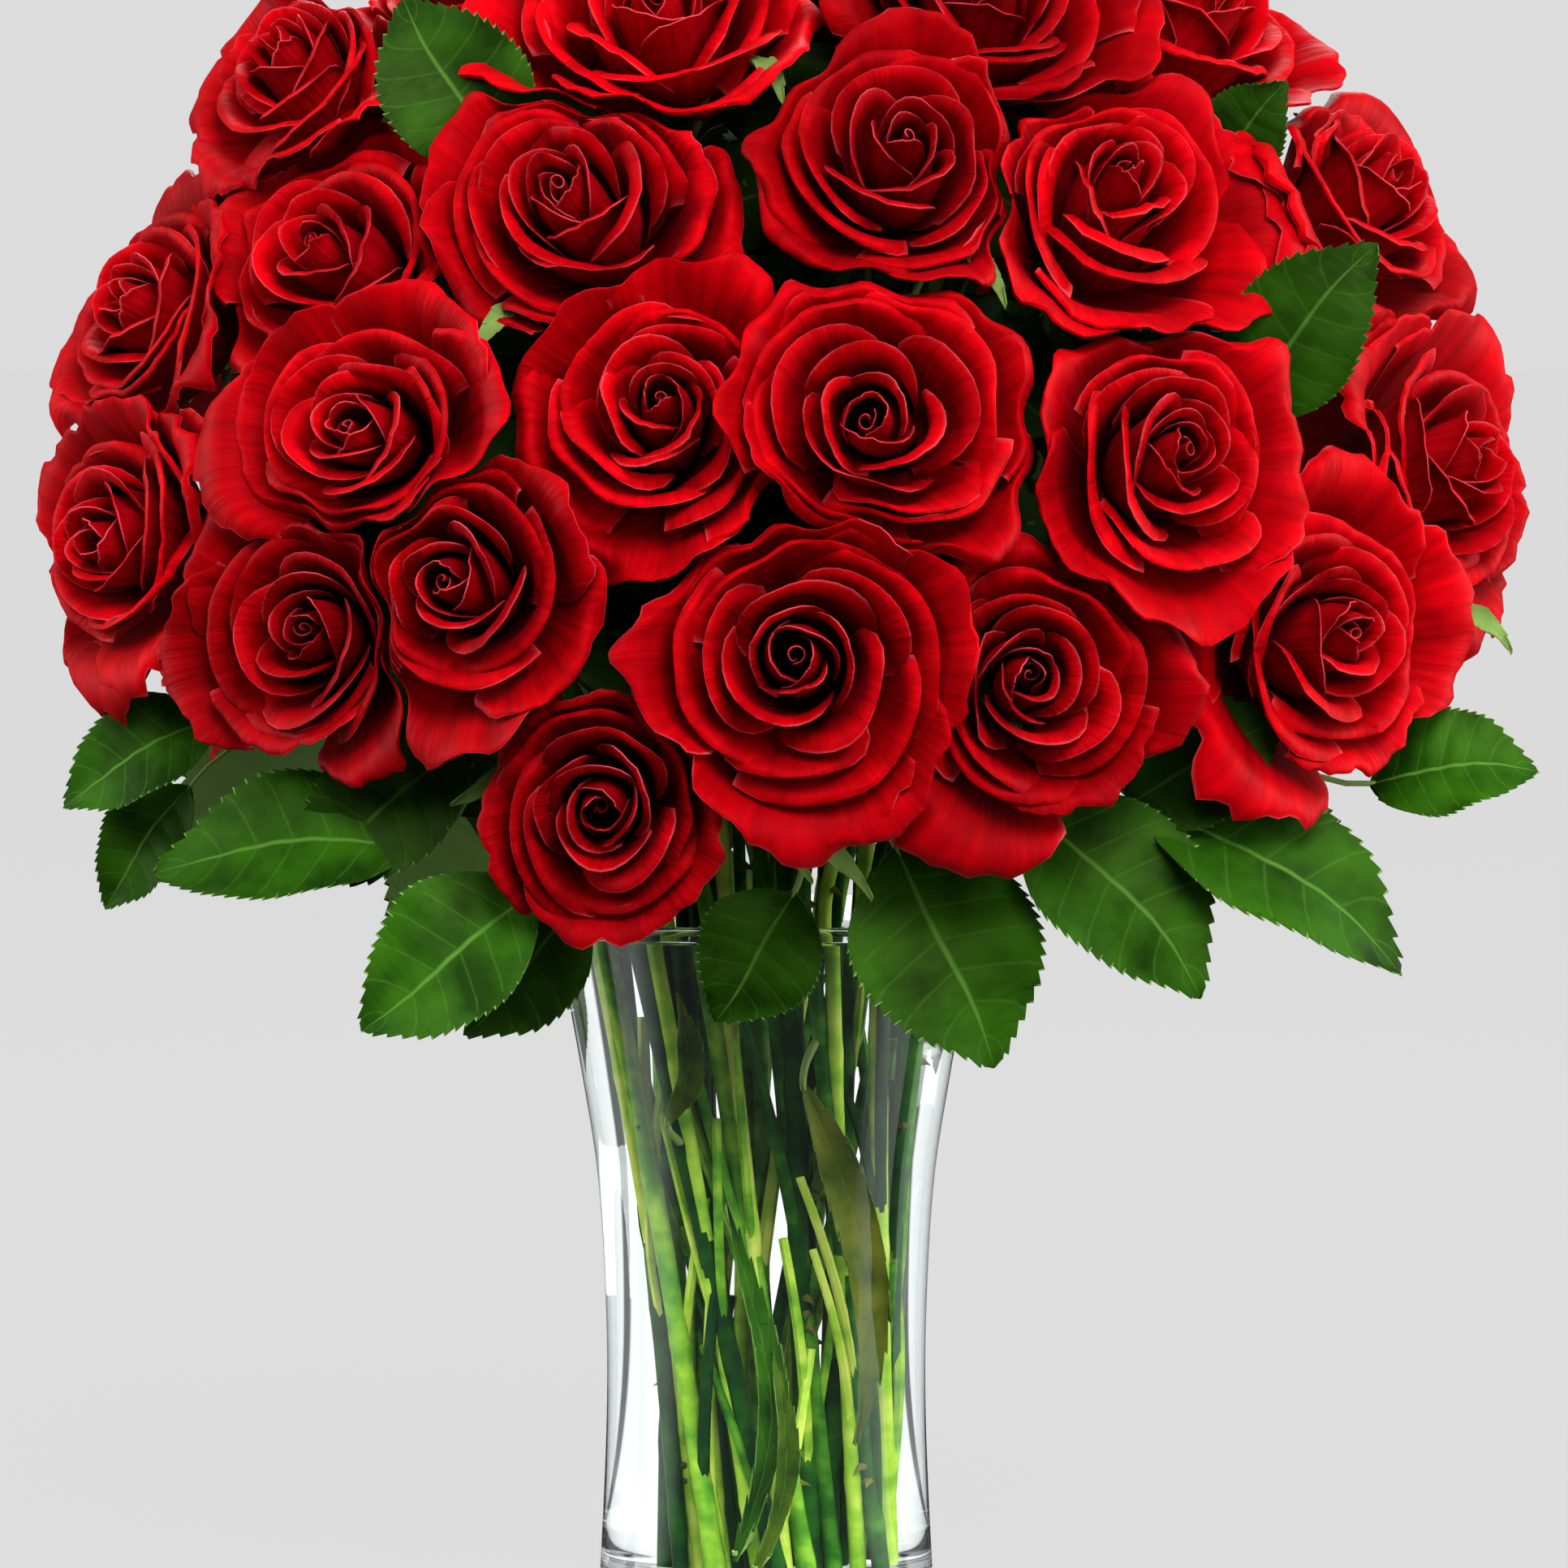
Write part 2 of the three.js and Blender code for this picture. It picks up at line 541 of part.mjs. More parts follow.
// All stems, pushed apart where they come too near each other above the mouth. The first pieces of a pair's
// two stems may touch.
function untangled() {
  const all = PAIRS.flatMap((pair, k) => pair.map((_, member) => stemCurve(k, member)));
  const pieces = STEM_STEPS.map((_, m) => m);
  for (let round = 0; round < UNTANGLE_ROUNDS; round++) {
    for (const [i, one] of all.entries()) {
      for (const two of all.slice(i + 1)) {
        const partners = one.pairIndex === two.pairIndex;
        for (const m of pieces) {
          for (const n of pieces) {
            if (!partners || m + n > 2) pushApart(one, m, two, n);
          }
        }
      }
    }
  }
  return all;
}
const stems = untangled();

// A stem from its cut foot to its calyx, with the sepals.
function stem({ flower, floor, points }) {
  const path = [floor, ...points];
  const radii = path.map((_, i) => STEM_RADIUS - STEM_TAPER * Math.max(i - 1, 0));
  const rings = tubeRings(path, radii, STEM_SIDES);
  const first = rings.at(-1)[0].clone().sub(path.at(-1));
  const start = Math.atan2(first.dot(flower.up), first.dot(flower.across));
  const round = (j) => start + (2 * Math.PI * j) / STEM_SIDES;
  const around = (make) => Array.from({ length: STEM_SIDES }, (_, j) => make(j));
  const calyx = CALYX.map(([along, r]) => around((j) => flowerPoint(flower, r, round(j), along)));
  const sepal = (j) => flowerPoint(flower, SEPAL_LENGTH, round(j + 0.5), -SEPAL_DROOP);
  const tips = around((j) => pressed(sepal(j), flower));
  return ringSolid([...rings, ...calyx], { after: rings.length + SEPALS_AFTER, tips });
}

function leaf(shape) {
  const base = vec(...shape.base);
  const tip = vec(...shape.tip);
  const length = tip.distanceTo(base);
  const along = tip.clone().sub(base).normalize();
  const normal = vec(...shape.facing);
  normal.addScaledVector(along, -normal.dot(along)).normalize();
  const side = along.clone().cross(normal);
  const steps = 2 * LEAF_TEETH;
  const rows = Array.from({ length: steps + 1 }, (_, k) => {
    const v = k / steps;
    const toothed = k % 2 === 1;
    const blade = (shape.width / 2) * Math.sin(Math.PI * v ** LEAF_WIDEST) ** LEAF_ROUNDNESS;
    const ends = k === 0 ? LEAF_BASE_HALF : LEAF_TIP_HALF;
    const half = k === 0 || k === steps ? ends : blade * (toothed ? 1 : LEAF_NOTCH);
    const lift = shape.arch * Math.sin(Math.PI * v);
    const middle = base.clone().addScaledVector(along, length * v).addScaledVector(normal, lift);
    return [-1, 0, 1].map((s) => middle.clone()
      .addScaledVector(side, s * half)
      .addScaledVector(normal, Math.abs(s) * LEAF_FOLD * half)
      .addScaledVector(along, s && toothed ? TOOTH_LEAN * length : 0));
  });
  return plate(rows, normal.clone().multiplyScalar(LEAF_THICKNESS / 2));
}

// The leaf's stalk springs from the bend of its stem.
function leafStalk(shape, path) {
  const base = vec(...shape.base);
  const along = vec(...shape.tip).sub(base).normalize();
  const inBlade = base.clone().addScaledVector(along, STALK_OVERLAP);
  return tube([path[STALK_FROM], inBlade], STALK_RADII, STALK_SIDES);
}

function stemPair(pairIndex) {
  const pieces = stems.filter((one) => one.pairIndex === pairIndex).flatMap((one) => {
    const leaves = LEAVES.filter((shape) => flowers[shape.stem] === one.flower);
    return [stem(one), ...leaves.flatMap((shape) => [leaf(shape), leafStalk(shape, one.points)])];
  });
  return fuse(pieces);
}

function stemPairMesh(_, k) {
  return meshOf(stemPair(k), `stems_${String(k + 1).padStart(2, "0")}`, 0x2f5a1e, 0.5);
}

function vase() {
  return turned([[0, 0], ...VASE_OUTSIDE, ...VASE_INSIDE, [0, VASE_FLOOR]], VASE_SIDES);
}

// The water fills the vase up to its level, with a plain hole for each pair of stems.
function water() {
  const wet = VASE_INSIDE.filter(([, z]) => z < WATER_LEVEL && z > VASE_FLOOR).reverse();
  const above = VASE_INSIDE.findLast(([, z]) => z > WATER_LEVEL);
  const below = wet.at(-1);
  const brim = mix(below[0], above[0], (WATER_LEVEL - below[1]) / (above[1] - below[1]));
  const [foot] = VASE_INSIDE.at(-1);
  const profile = [
    [0, VASE_FLOOR + GAP],
    [foot - GAP, VASE_FLOOR + GAP],
    ...wet.map(([r, z]) => [r - GAP, z]),
    [brim - GAP, WATER_LEVEL],
    [0, WATER_LEVEL],
  ];
  const holes = PAIRS.map((pair, index) => {
    const tubes = pair.map((_, member) => {
      const { top, floor } = run(index, member);
      const under = floor.clone().addScaledVector(top.clone().sub(floor).normalize(), -GAP);
      return tube([under, top], [HOLE_RADIUS, HOLE_RADIUS], STEM_SIDES);
    });
    return Manifold.hull(tubes);
  });
  return fuse([turned(profile, VASE_SIDES).subtract(Manifold.union(holes))]);
}

const holder = new THREE.Group();
holder.add(meshOf(vase(), "vase", 0xe8f2ef, 0.02));
holder.add(meshOf(water(), "water", 0xdcebe6, 0.02));

const heads = new THREE.Group();
heads.add(...flowers.map(bloomMesh));

const greens = new THREE.Group();
greens.add(...PAIRS.map(stemPairMesh));

const bouquet = new THREE.Group();
bouquet.add(heads, greens);

const root = new THREE.Group();
root.add(holder, bouquet);

export default root;
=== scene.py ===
"""Three dozen red roses with their stems and leaves, in a clear glass vase of water.

The bouquet's layout follows the same rules as the CAD model: flowers on a dome, stems that lean past each
other in the vase's neck, and petals that press on their neighbours. Lengths are in millimetres until a mesh
is made, and the frame is the CAD model's: +Z up, the vase's underside at the origin, the front towards -Y.
"""
import itertools
import logging
import math
from dataclasses import dataclass, field
from enum import Enum
from typing import Any, Sequence

import bpy
import numpy as np
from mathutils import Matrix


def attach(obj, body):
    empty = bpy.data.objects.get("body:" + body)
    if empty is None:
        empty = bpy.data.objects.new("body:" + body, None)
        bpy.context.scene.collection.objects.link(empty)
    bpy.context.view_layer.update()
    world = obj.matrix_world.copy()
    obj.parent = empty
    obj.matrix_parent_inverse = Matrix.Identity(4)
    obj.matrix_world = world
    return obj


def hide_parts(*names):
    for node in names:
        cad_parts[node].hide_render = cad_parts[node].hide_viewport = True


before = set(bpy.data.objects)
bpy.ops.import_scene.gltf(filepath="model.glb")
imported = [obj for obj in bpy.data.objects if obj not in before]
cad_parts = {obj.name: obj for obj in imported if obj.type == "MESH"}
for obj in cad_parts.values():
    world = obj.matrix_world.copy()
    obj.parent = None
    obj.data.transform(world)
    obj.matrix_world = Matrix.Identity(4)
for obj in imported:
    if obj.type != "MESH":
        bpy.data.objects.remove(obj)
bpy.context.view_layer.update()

LOG = logging.getLogger("bouquet")
MM = 0.001
BODY = "root"
CREASE_DEGREES = 50
Array = np.ndarray
Random = np.random.Generator
Material = bpy.types.Material
Tree = bpy.types.NodeTree


class Slot(Enum):
    """Material slot names."""

    GLASS = "clear_glass"
    WATER = "water"
    PETALS = "rose_petals"
    GREENS = "rose_greens"


def unit(v: Array) -> Array:
    """Scale vectors along the last axis to length one."""
    return v / np.maximum(np.linalg.norm(v, axis=-1, keepdims=True), 1e-12)


def mix(a: Any, b: Any, t: Any) -> Any:
    """Blend from a to b by the share t."""
    return a + (b - a) * t


def smooth_step(low: float, high: float, x: Array) -> Array:
    """Rise smoothly from 0 at low to 1 at high."""
    t = np.clip((x - low) / (high - low), 0, 1)
    return t * t * (3 - 2 * t)


def bezier(t: Array, a: Any, b: Any, c: Any, d: Any) -> Array:
    """The cubic Bezier curve from a to d with the handles b and c, at the shares t."""
    return (1 - t) ** 3 * a + 3 * t * (1 - t) ** 2 * b + 3 * t * t * (1 - t) * c + t**3 * d


def distances(line: Array) -> Array:
    """How far each point of a line is from its start, along the line."""
    return np.concatenate([[0], np.cumsum(np.linalg.norm(np.diff(line, axis=0), axis=1))])


def linear(code: str) -> tuple[float, float, float, float]:
    """Turn an sRGB hex colour into linear light.

    Args:
        code: Six hexadecimal digits.

    Returns:
        Red, green, blue and an alpha of one.
    """
    shares = [int(code[i : i + 2], 16) / 255 for i in (0, 2, 4)]
    rgb = [c / 12.92 if c <= 0.04045 else ((c + 0.055) / 1.055) ** 2.4 for c in shares]
    return (*rgb, 1.0)


def smooth_line(
    points: Array, steps: Sequence[int], first: Array | None = None, last: Array | None = None
) -> Array:
    """Carry a smooth line through points: one cubic Hermite piece between each two.

    The tangent at a point is the direction from the point before it to the one after, as long as the piece.

    Args:
        points: The points, one a row.
        steps: How many steps each piece has.
        first: The direction at the first point, where it is set.
        last: The direction at the last point, where it is set.

    Returns:
        The points of the line, one a row.
    """
    start, end = points[1:2] - points[:1], points[-1:] - points[-2:-1]
    ways = unit(np.concatenate([start, points[2:] - points[:-2], end]))
    if first is not None:
        ways[0] = first
    if last is not None:
        ways[-1] = last
    parts = []
    for a, b, wa, wb, count in zip(points, points[1:], ways, ways[1:], steps):
        t = (np.arange(count) / count)[:, None]
        span = np.linalg.norm(b - a)
        parts.append(
            (2 * t**3 - 3 * t**2 + 1) * a + (t**3 - 2 * t**2 + t) * span * wa
            + (3 * t**2 - 2 * t**3) * b + (t**3 - t**2) * span * wb
        )
    return np.concatenate([*parts, points[-1:]])


@dataclass
class Surface:
    """Points with faces, and values that a material reads at the points.

    Attributes:
        points: Corner points in millimetres, one a row.
        faces: Arrays of faces, each with its own number of corners.
        uv: The place of each point on its petal or leaf.
        values: Named numbers for each point.
    """

    points: Array
    faces: list[Array]
    uv: Array
    values: dict[str, Array] = field(default_factory=dict)

    @staticmethod
    def joined(parts: Sequence["Surface"]) -> "Surface":
        """Put several surfaces into one.

        Args:
            parts: The surfaces.

        Returns:
            One surface, with a value of 0 where a part doesn't state it.
        """
        starts = np.cumsum([0, *(len(p.points) for p in parts)])
        names = sorted({name for p in parts for name in p.values})
        return Surface(
            np.concatenate([p.points for p in parts]),
            [f + start for p, start in zip(parts, starts) for f in p.faces],
            np.concatenate([p.uv for p in parts]),
            {n: np.concatenate([p.values.get(n, np.zeros(len(p.points))) for p in parts]) for n in names},
        )


def shell(grid: Array, thickness: float, u: Array, v: Array, values: dict[str, Array]) -> Surface:
    """Give grids of points a thickness, and close their edges.

    The front lies half the thickness along the grid's normal, which is across times along, and the back half
    the thickness the other way. A strip of faces joins the two round the edge.

    Args:
        grid: Points as (sheets, rows, columns, 3); rows run along a sheet and columns across it.
        thickness: The distance between front and back.
        u: Across, from -1 to 1, one for each column.
        v: Along, from 0 to 1, one for each row.
        values: Named numbers for each sheet.

    Returns:
        The closed shells, with the values rim (1 on the edge) and back (1 on the back).
    """
    sheets, rows, columns = grid.shape[:3]
    normal = unit(np.cross(np.gradient(grid, axis=2), np.gradient(grid, axis=1)))
    points = np.stack([grid + normal * thickness / 2, grid - normal * thickness / 2], axis=1)
    count = rows * columns
    at = np.arange(count).reshape(rows, columns)
    front = np.stack([at[:-1, :-1], at[:-1, 1:], at[1:, 1:], at[1:, :-1]], -1).reshape(-1, 4)
    edge = np.concatenate([at[0, :-1], at[:-1, -1], at[-1, :0:-1], at[:0:-1, 0]])
    after = np.roll(edge, -1)
    strip = np.stack([after, edge, edge + count, after + count], -1)
    one = np.concatenate([front, front[:, ::-1] + count, strip])
    faces = (one[None] + 2 * count * np.arange(sheets)[:, None, None]).reshape(-1, 4)
    shape = (sheets, 2, rows, columns)
    rim = np.zeros((rows, columns))
    rim[-1] = rim[:, 0] = rim[:, -1] = 1
    uv = np.broadcast_to(np.stack(np.meshgrid(u, v), -1), (*shape, 2))
    back = np.broadcast_to(np.arange(2.0)[None, :, None, None], shape)
    spread = {n: np.broadcast_to(np.reshape(x, (-1, 1, 1, 1)), shape).ravel() for n, x in values.items()}
    spread |= {"rim": np.broadcast_to(rim, shape).ravel(), "back": back.ravel()}
    return Surface(points.reshape(-1, 3), [faces], uv.reshape(-1, 2), spread)


def closed_rings(rings: Array, poles: Array) -> tuple[Array, list[Array]]:
    """Join rings of points to a closed body, with a pole before the first ring and one after the last.

    Args:
        rings: Points as (rings, corners, 3).
        poles: The two poles, one a row.

    Returns:
        All points, the poles last, and the faces between the rings and round the poles.
    """
    rows, sides = rings.shape[:2]
    at = np.arange(rows * sides).reshape(rows, sides)
    beside = np.roll(at, -1, axis=1)
    quads = np.stack([at[:-1], beside[:-1], beside[1:], at[1:]], -1).reshape(-1, 4)
    low, high = np.full(sides, rows * sides), np.full(sides, rows * sides + 1)
    caps = np.concatenate([np.stack([low, beside[0], at[0]], -1), np.stack([high, at[-1], beside[-1]], -1)])
    return np.concatenate([rings.reshape(-1, 3), poles]), [quads, caps]


def tube(path: Array, radii: Array, sides: int, values: dict[str, float]) -> Surface:
    """Carry a ring along a path, with a pole at each end.

    The ring's first direction is turned from point to point only as far as the path turns, so it doesn't twist.

    Args:
        path: The centre line, one point a row.
        radii: The ring's radius at each point.
        sides: The number of corners of the ring.
        values: Named numbers, each the same all over the tube.

    Returns:
        The closed tube, with the value along, in millimetres from the start.
    """
    ways = unit(np.gradient(path, axis=0))
    start = np.eye(3)[np.argmin(np.abs(ways[0]))]
    turned_along = itertools.accumulate(ways, lambda s, w: unit(s - (s @ w) * w), initial=start)
    first = np.array(list(turned_along)[1:])
    second = np.cross(ways, first)
    angle = math.tau * np.arange(sides) / sides
    ring = np.cos(angle)[None, :, None] * first[:, None] + np.sin(angle)[None, :, None] * second[:, None]
    corners, faces = closed_rings(path[:, None] + ring * radii[:, None, None], path[[0, -1]])
    along = distances(path)
    spread = {name: np.full(len(corners), value) for name, value in values.items()}
    spread["along"] = np.concatenate([np.repeat(along, sides), along[[0, -1]]])
    return Surface(corners, faces, np.zeros((len(corners), 2)), spread)


def turned(profile: Array, sides: int) -> Surface:
    """Turn a profile of [radius, height] about +Z. Its first and last points lie on the axis.

    Args:
        profile: The outline from the axis at the bottom, outwards and back to the axis.
        sides: The number of steps round the axis.

    Returns:
        The closed turned surface.
    """
    angle = math.tau * np.arange(sides) / sides
    radius, height = profile[1:-1, :1], profile[1:-1, 1:]
    rings = np.stack([radius * np.cos(angle), radius * np.sin(angle), np.repeat(height, sides, axis=1)], -1)
    corners, faces = closed_rings(rings, np.array([[0, 0, profile[0, 1]], [0, 0, profile[-1, 1]]]))
    return Surface(corners, faces, np.zeros((len(corners), 2)))


def make_piece(name: str, surface: Surface, material: Material, node: str) -> None:
    """Make a finished piece of a surface, in place of a CAD node.

    Args:
        name: The piece's name.
        surface: Its points in millimetres and faces.
        material: Its finish.
        node: The CAD node that it stands for.
    """
    mesh = bpy.data.meshes.new(name)
    faces = list(itertools.chain(*(f.tolist() for f in surface.faces)))
    mesh.from_pydata((surface.points * MM).tolist(), [], faces)
    mesh.shade_smooth()
    mesh.set_sharp_from_angle(angle=math.radians(CREASE_DEGREES))
    corner = np.empty(len(mesh.loops), np.int32)
    mesh.loops.foreach_get("vertex_index", corner)
    mesh.uv_layers.new(name="place").uv.foreach_set("vector", surface.uv[corner].astype(np.float32).ravel())
    for key, numbers in surface.values.items():
        mesh.attributes.new(key, "FLOAT", "POINT").data.foreach_set("value", numbers.astype(np.float32))
    mesh.materials.append(material)
    piece = bpy.data.objects.new(name, mesh)
    bpy.context.scene.collection.objects.link(piece)
    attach(piece, BODY)
    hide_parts(node)
    LOG.info("%s: %d points, %d faces", name, len(mesh.vertices), len(mesh.polygons))


# The dome that the flowers stand on. They turn a little further to the front, or to the back, than its
# normal does.
DOME_CENTRE = np.array([5.0, 0, 275])
DOME_RADII = np.array([200.0, 150, 212])
FRONT_LIMIT = 30
FRONT_LEAN = np.array([0.0, 42, -8])
BACK_LEAN = np.array([0.0, -30, -8])
HEIGHT_PER_RADIUS = 1.36
MIDDLE_DEPTH = 0.42

# How neighbouring flowers press on each other: where it starts, the gap that stays, how near two flowers
# have to be, how far the plane between them leans, and its waves
PRESS_START = 0.54
PRESS_CLEARANCE = 0.8
PRESS_REACH = 1.5
PRESS_LEAN = 0.6
PRESS_WAVE = 1.8
PRESS_WAVE_LENGTH = 23.0

# The gap between a flower and its calyx
FOOT_GAP = 0.35


@dataclass(eq=False)
class Flower:
    """A flower's place. Its axis is the dome's normal, and its foot is one flower height behind its face.

    Attributes:
        at: The middle of its face.
        radius: The radius across its outer petals.
        spin: Its turn about its axis, in degrees.
        axis: The way that it faces.
        foot: Where it stands on its calyx.
        middle: The point inside it that its neighbours press towards.
        across: A level direction at right angles to the axis.
        up: The direction at right angles to both.
        height: From its foot to its face.
    """

    at: Sequence[float]
    radius: float
    spin: float
    axis: Array = field(init=False)
    foot: Array = field(init=False)
    middle: Array = field(init=False)
    across: Array = field(init=False)
    up: Array = field(init=False)
    height: float = field(init=False)

    def __post_init__(self) -> None:
        """Work out the flower's own frame."""
        face = np.array(self.at, float)
        lean = BACK_LEAN if face[1] > FRONT_LIMIT else FRONT_LEAN
        self.axis = unit((face - DOME_CENTRE - lean) / DOME_RADII**2)
        self.height = self.radius * HEIGHT_PER_RADIUS
        self.foot = face - self.axis * self.height
        self.middle = face - self.axis * self.height * MIDDLE_DEPTH
        self.across = unit(np.cross([0, 0, 1], self.axis))
        self.up = np.cross(self.axis, self.across)

    def points(self, radius: Array, angle: Array, along: Array) -> Array:
        """Find points by their place about the flower's axis.

        Args:
            radius: The distances from the axis.
            angle: The directions round it.
            along: The heights along it from the foot.

        Returns:
            The points.
        """
        return (
            self.foot
            + (radius * np.cos(angle))[..., None] * self.across
            + (radius * np.sin(angle))[..., None] * self.up
            + np.asarray(along)[..., None] * self.axis
        )


# The middle of each face, the radius and the turn. The first twenty-three show from the front, then three
# stand on the crown and ten behind.
FLOWERS = [Flower((x, y, z), radius, spin) for x, y, z, radius, spin in (
    (-137, -44, 446, 32, 20), (-34, -74, 466, 42, 75), (66, -66, 468, 37, 130), (130, -22, 466, 38, 10),
    (-53, -114, 409, 42, 200), (39, -114, 421, 38, 260), (101, -96, 408, 39, 320), (180, -34, 412, 36, 50),
    (-124, -88, 395, 37, 96), (-184, -36, 378, 33, 170), (-115, -116, 345, 35, 230), (-30, -138, 347, 38, 290),
    (34, -150, 350, 42, 350), (114, -124, 337, 38, 40), (203, -44, 331, 38, 100), (-192, -56, 313, 34, 160),
    (-132, -108, 286, 35, 220), (-86, -138, 301, 36, 293), (11, -154, 280, 42, 340), (76, -138, 272, 37, 25),
    (162, -98, 284, 39, 85), (-46, -143, 238, 36, 145), (-178, 12, 282, 34, 205), (-86, -2, 481, 39, 265),
    (12, -2, 496, 40, 325), (88, 36, 482, 38, 33), (-92, 76, 446, 41, 70), (-2, 98, 454, 42, 125),
    (92, 80, 440, 40, 204), (-140, 78, 376, 42, 240), (-46, 128, 377, 43, 300), (46, 130, 375, 43, 0),
    (142, 80, 368, 42, 55), (-96, 114, 294, 42, 115), (2, 136, 292, 43, 175), (108, 104, 290, 42, 235),
)]


@dataclass(frozen=True)
class Contact:
    """Where a neighbour presses on a flower: at a wavy plane that leans, so that one lies over the other.

    Attributes:
        way: The plane's normal, away from the flower.
        limit: How far the plane is from the flower's middle along its normal.
        toward: The direction to the neighbour.
        over: 1 where the flower lies over its neighbour, and -1 where it lies under.
        aside: The direction in the plane that its waves run along.
        wave: How high the waves are, away from the flower.
        phase: Where the waves start.
    """

    way: Array
    limit: float
    toward: Array
    over: int
    aside: Array
    wave: float
    phase: float

    def room(self, points: Array) -> Array:
        """How far the wavy plane is from the flower's middle, at the places of the points."""
        place = points @ self.aside * (math.tau / PRESS_WAVE_LENGTH)
        return self.limit + self.wave * np.sin(place + self.phase)


def contacts(own: Flower) -> list[Contact]:
    """Find the flowers that press on one, and the planes that part them.

    A plane cuts the line between two middles in the ratio of the radii. Random draws that both flowers share
    settle which of the two lies over the other, and where the waves start.

    Args:
        own: The flower.

    Returns:
        A contact for each neighbour.
    """
    found = []
    index = FLOWERS.index(own)
    for number, other in enumerate(FLOWERS):
        step = other.middle - own.middle
        distance = np.linalg.norm(step)
        if other is own or distance > PRESS_REACH * (own.radius + other.radius):
            continue
        toward = step / distance
        rng = np.random.default_rng(min(index, number) * len(FLOWERS) + max(index, number))
        sense = 1 if index < number else -1
        over = sense * (int(rng.integers(2)) * 2 - 1)
        phase = rng.uniform(0, math.tau)
        outward = own.axis + other.axis
        outward = unit(outward - (outward @ toward) * toward)
        way = unit(toward - over * PRESS_LEAN * outward)
        limit = distance * own.radius / (own.radius + other.radius) * (toward @ way) - PRESS_CLEARANCE
        aside = unit(np.cross(outward, toward)) * sense
        found.append(Contact(way, limit, toward, over, aside, sense * PRESS_WAVE, phase))
    return found


def pressed(points: Array, own: Flower, start: Any = PRESS_START) -> Array:
    """Press a flower's points back from its neighbours.

    Past the start, a share of the way to the plane between two flowers, distances towards it shrink
    exponentially, and never reach the plane.

    Args:
        points: Points of the flower, with coordinates along the last axis.
        own: The flower that they belong to.
        start: The share, one for all or an array of shares that fits the points.

    Returns:
        The points where the neighbours leave them.
    """
    moved = np.array(points, float)
    for contact in contacts(own):
        limit = contact.room(moved)
        room = (1 - start) * limit
        over = np.maximum((moved - own.middle) @ contact.way - start * limit, 0)
        moved += (room * (1 - np.exp(-over / room)) - over)[..., None] * contact.way
    return moved


# Painted shade and painted light: the red of flowers that sit in shade is darkened, and that of the best lit
# ones lightened, where it isn't 1
PAINTED_SHADING = {
    1: 1.25, 2: 0.7, 3: 1.15, 4: 0.9, 5: 0.72, 16: 0.66, 17: 0.72, 18: 0.82, 19: 0.72, 21: 0.56, 27: 0.8,
    31: 0.75, 34: 0.85,
}

# The widest layer of the outer petals, and the layer of flowers that are held narrower
WIDEST_LAYER = 1.22
NARROW = {18: 1.1, 21: 0.88}

# How ragged the outer petals' rims are, and those of some flowers at the bouquet's edge
RAGGED_RIM = 0.034
RAGGED = {0: 0.055, 3: 0.05, 7: 0.06, 8: 0.055, 9: 0.065, 14: 0.065, 15: 0.065, 20: 0.05}

# Further petals behind flowers at the bouquet's edge: their direction in degrees and their layer
GUARDS = {
    0: [(240, 1.25)],
    6: [(5, 1.4)],
    7: [(165, 1.25), (200, 1.3)],
    8: [(135, 1.5), (165, 1.3)],
    9: [(60, 1.4)],
    10: [(190, 1.35)],
    14: [(120, 1.2)],
    15: [(20, 1.4), (-15, 1.3)],
    16: [(125, 1.35)],
}

# Rows along a petal: wide apart low down, close together on the rolled rim
ROWS = np.array([0, 0.14, 0.28, 0.42, 0.55, 0.67, 0.77, 0.84, 0.89, 0.93, 0.965, 1.0])
HEART_ROWS = np.array([0, 0.25, 0.5, 0.68, 0.8, 0.87, 0.92, 0.96, 1.0])

# Columns across a petal of the heart, of the ring round it and of the outermost ones
HEART_COLUMNS = np.linspace(-1, 1, 15)
SECOND_COLUMNS = np.linspace(-1, 1, 21)
OUTER_COLUMNS = np.linspace(-1, 1, 27)

# How far outer petals may reach, as shares of the flower's radius: at most, what counts as nothing in the
# way, into a gap between flowers, at the bouquet's edge, and how near a flower beyond the gap has to be
REACH_MOST = 1.7
REACH_FREE = 1.45
REACH_GAP = 1.4
REACH_EDGE = 0.6
REACH_BEYOND = 2.85


@dataclass(frozen=True)
class OuterKind:
    """A kind of outermost petal. A pair holds the least and the most of a random draw.

    Attributes:
        width: Half the petal's angle round the axis, in degrees.
        corner: What is added to how far its outline drops at the sides.
        square: How late the outline drops.
        tip: How far the middle of the rim is drawn out.
        roll: The angle of the rolled rim, in degrees.
        wave: How high the rim waves.
        tint: How light it is.
        lift: How far it rises over a neighbour.
        press: How far neighbours press it back, from 0 to 1.
    """

    width: float
    corner: tuple[float, float]
    square: tuple[float, float]
    tip: tuple[float, float]
    roll: float
    wave: float
    tint: tuple[float, float]
    lift: float
    press: float


OUTER = OuterKind(50, (-0.05, 0.05), (1.7, 3.4), (0.01, 0.12), 55, 0.042, (0, 1), 0.17, 1.0)
GUARD = OuterKind(40, (0.25, 0.4), (1.4, 2.4), (0.05, 0.14), 40, 0.06, (0, 0.4), 0.0, 0.3)


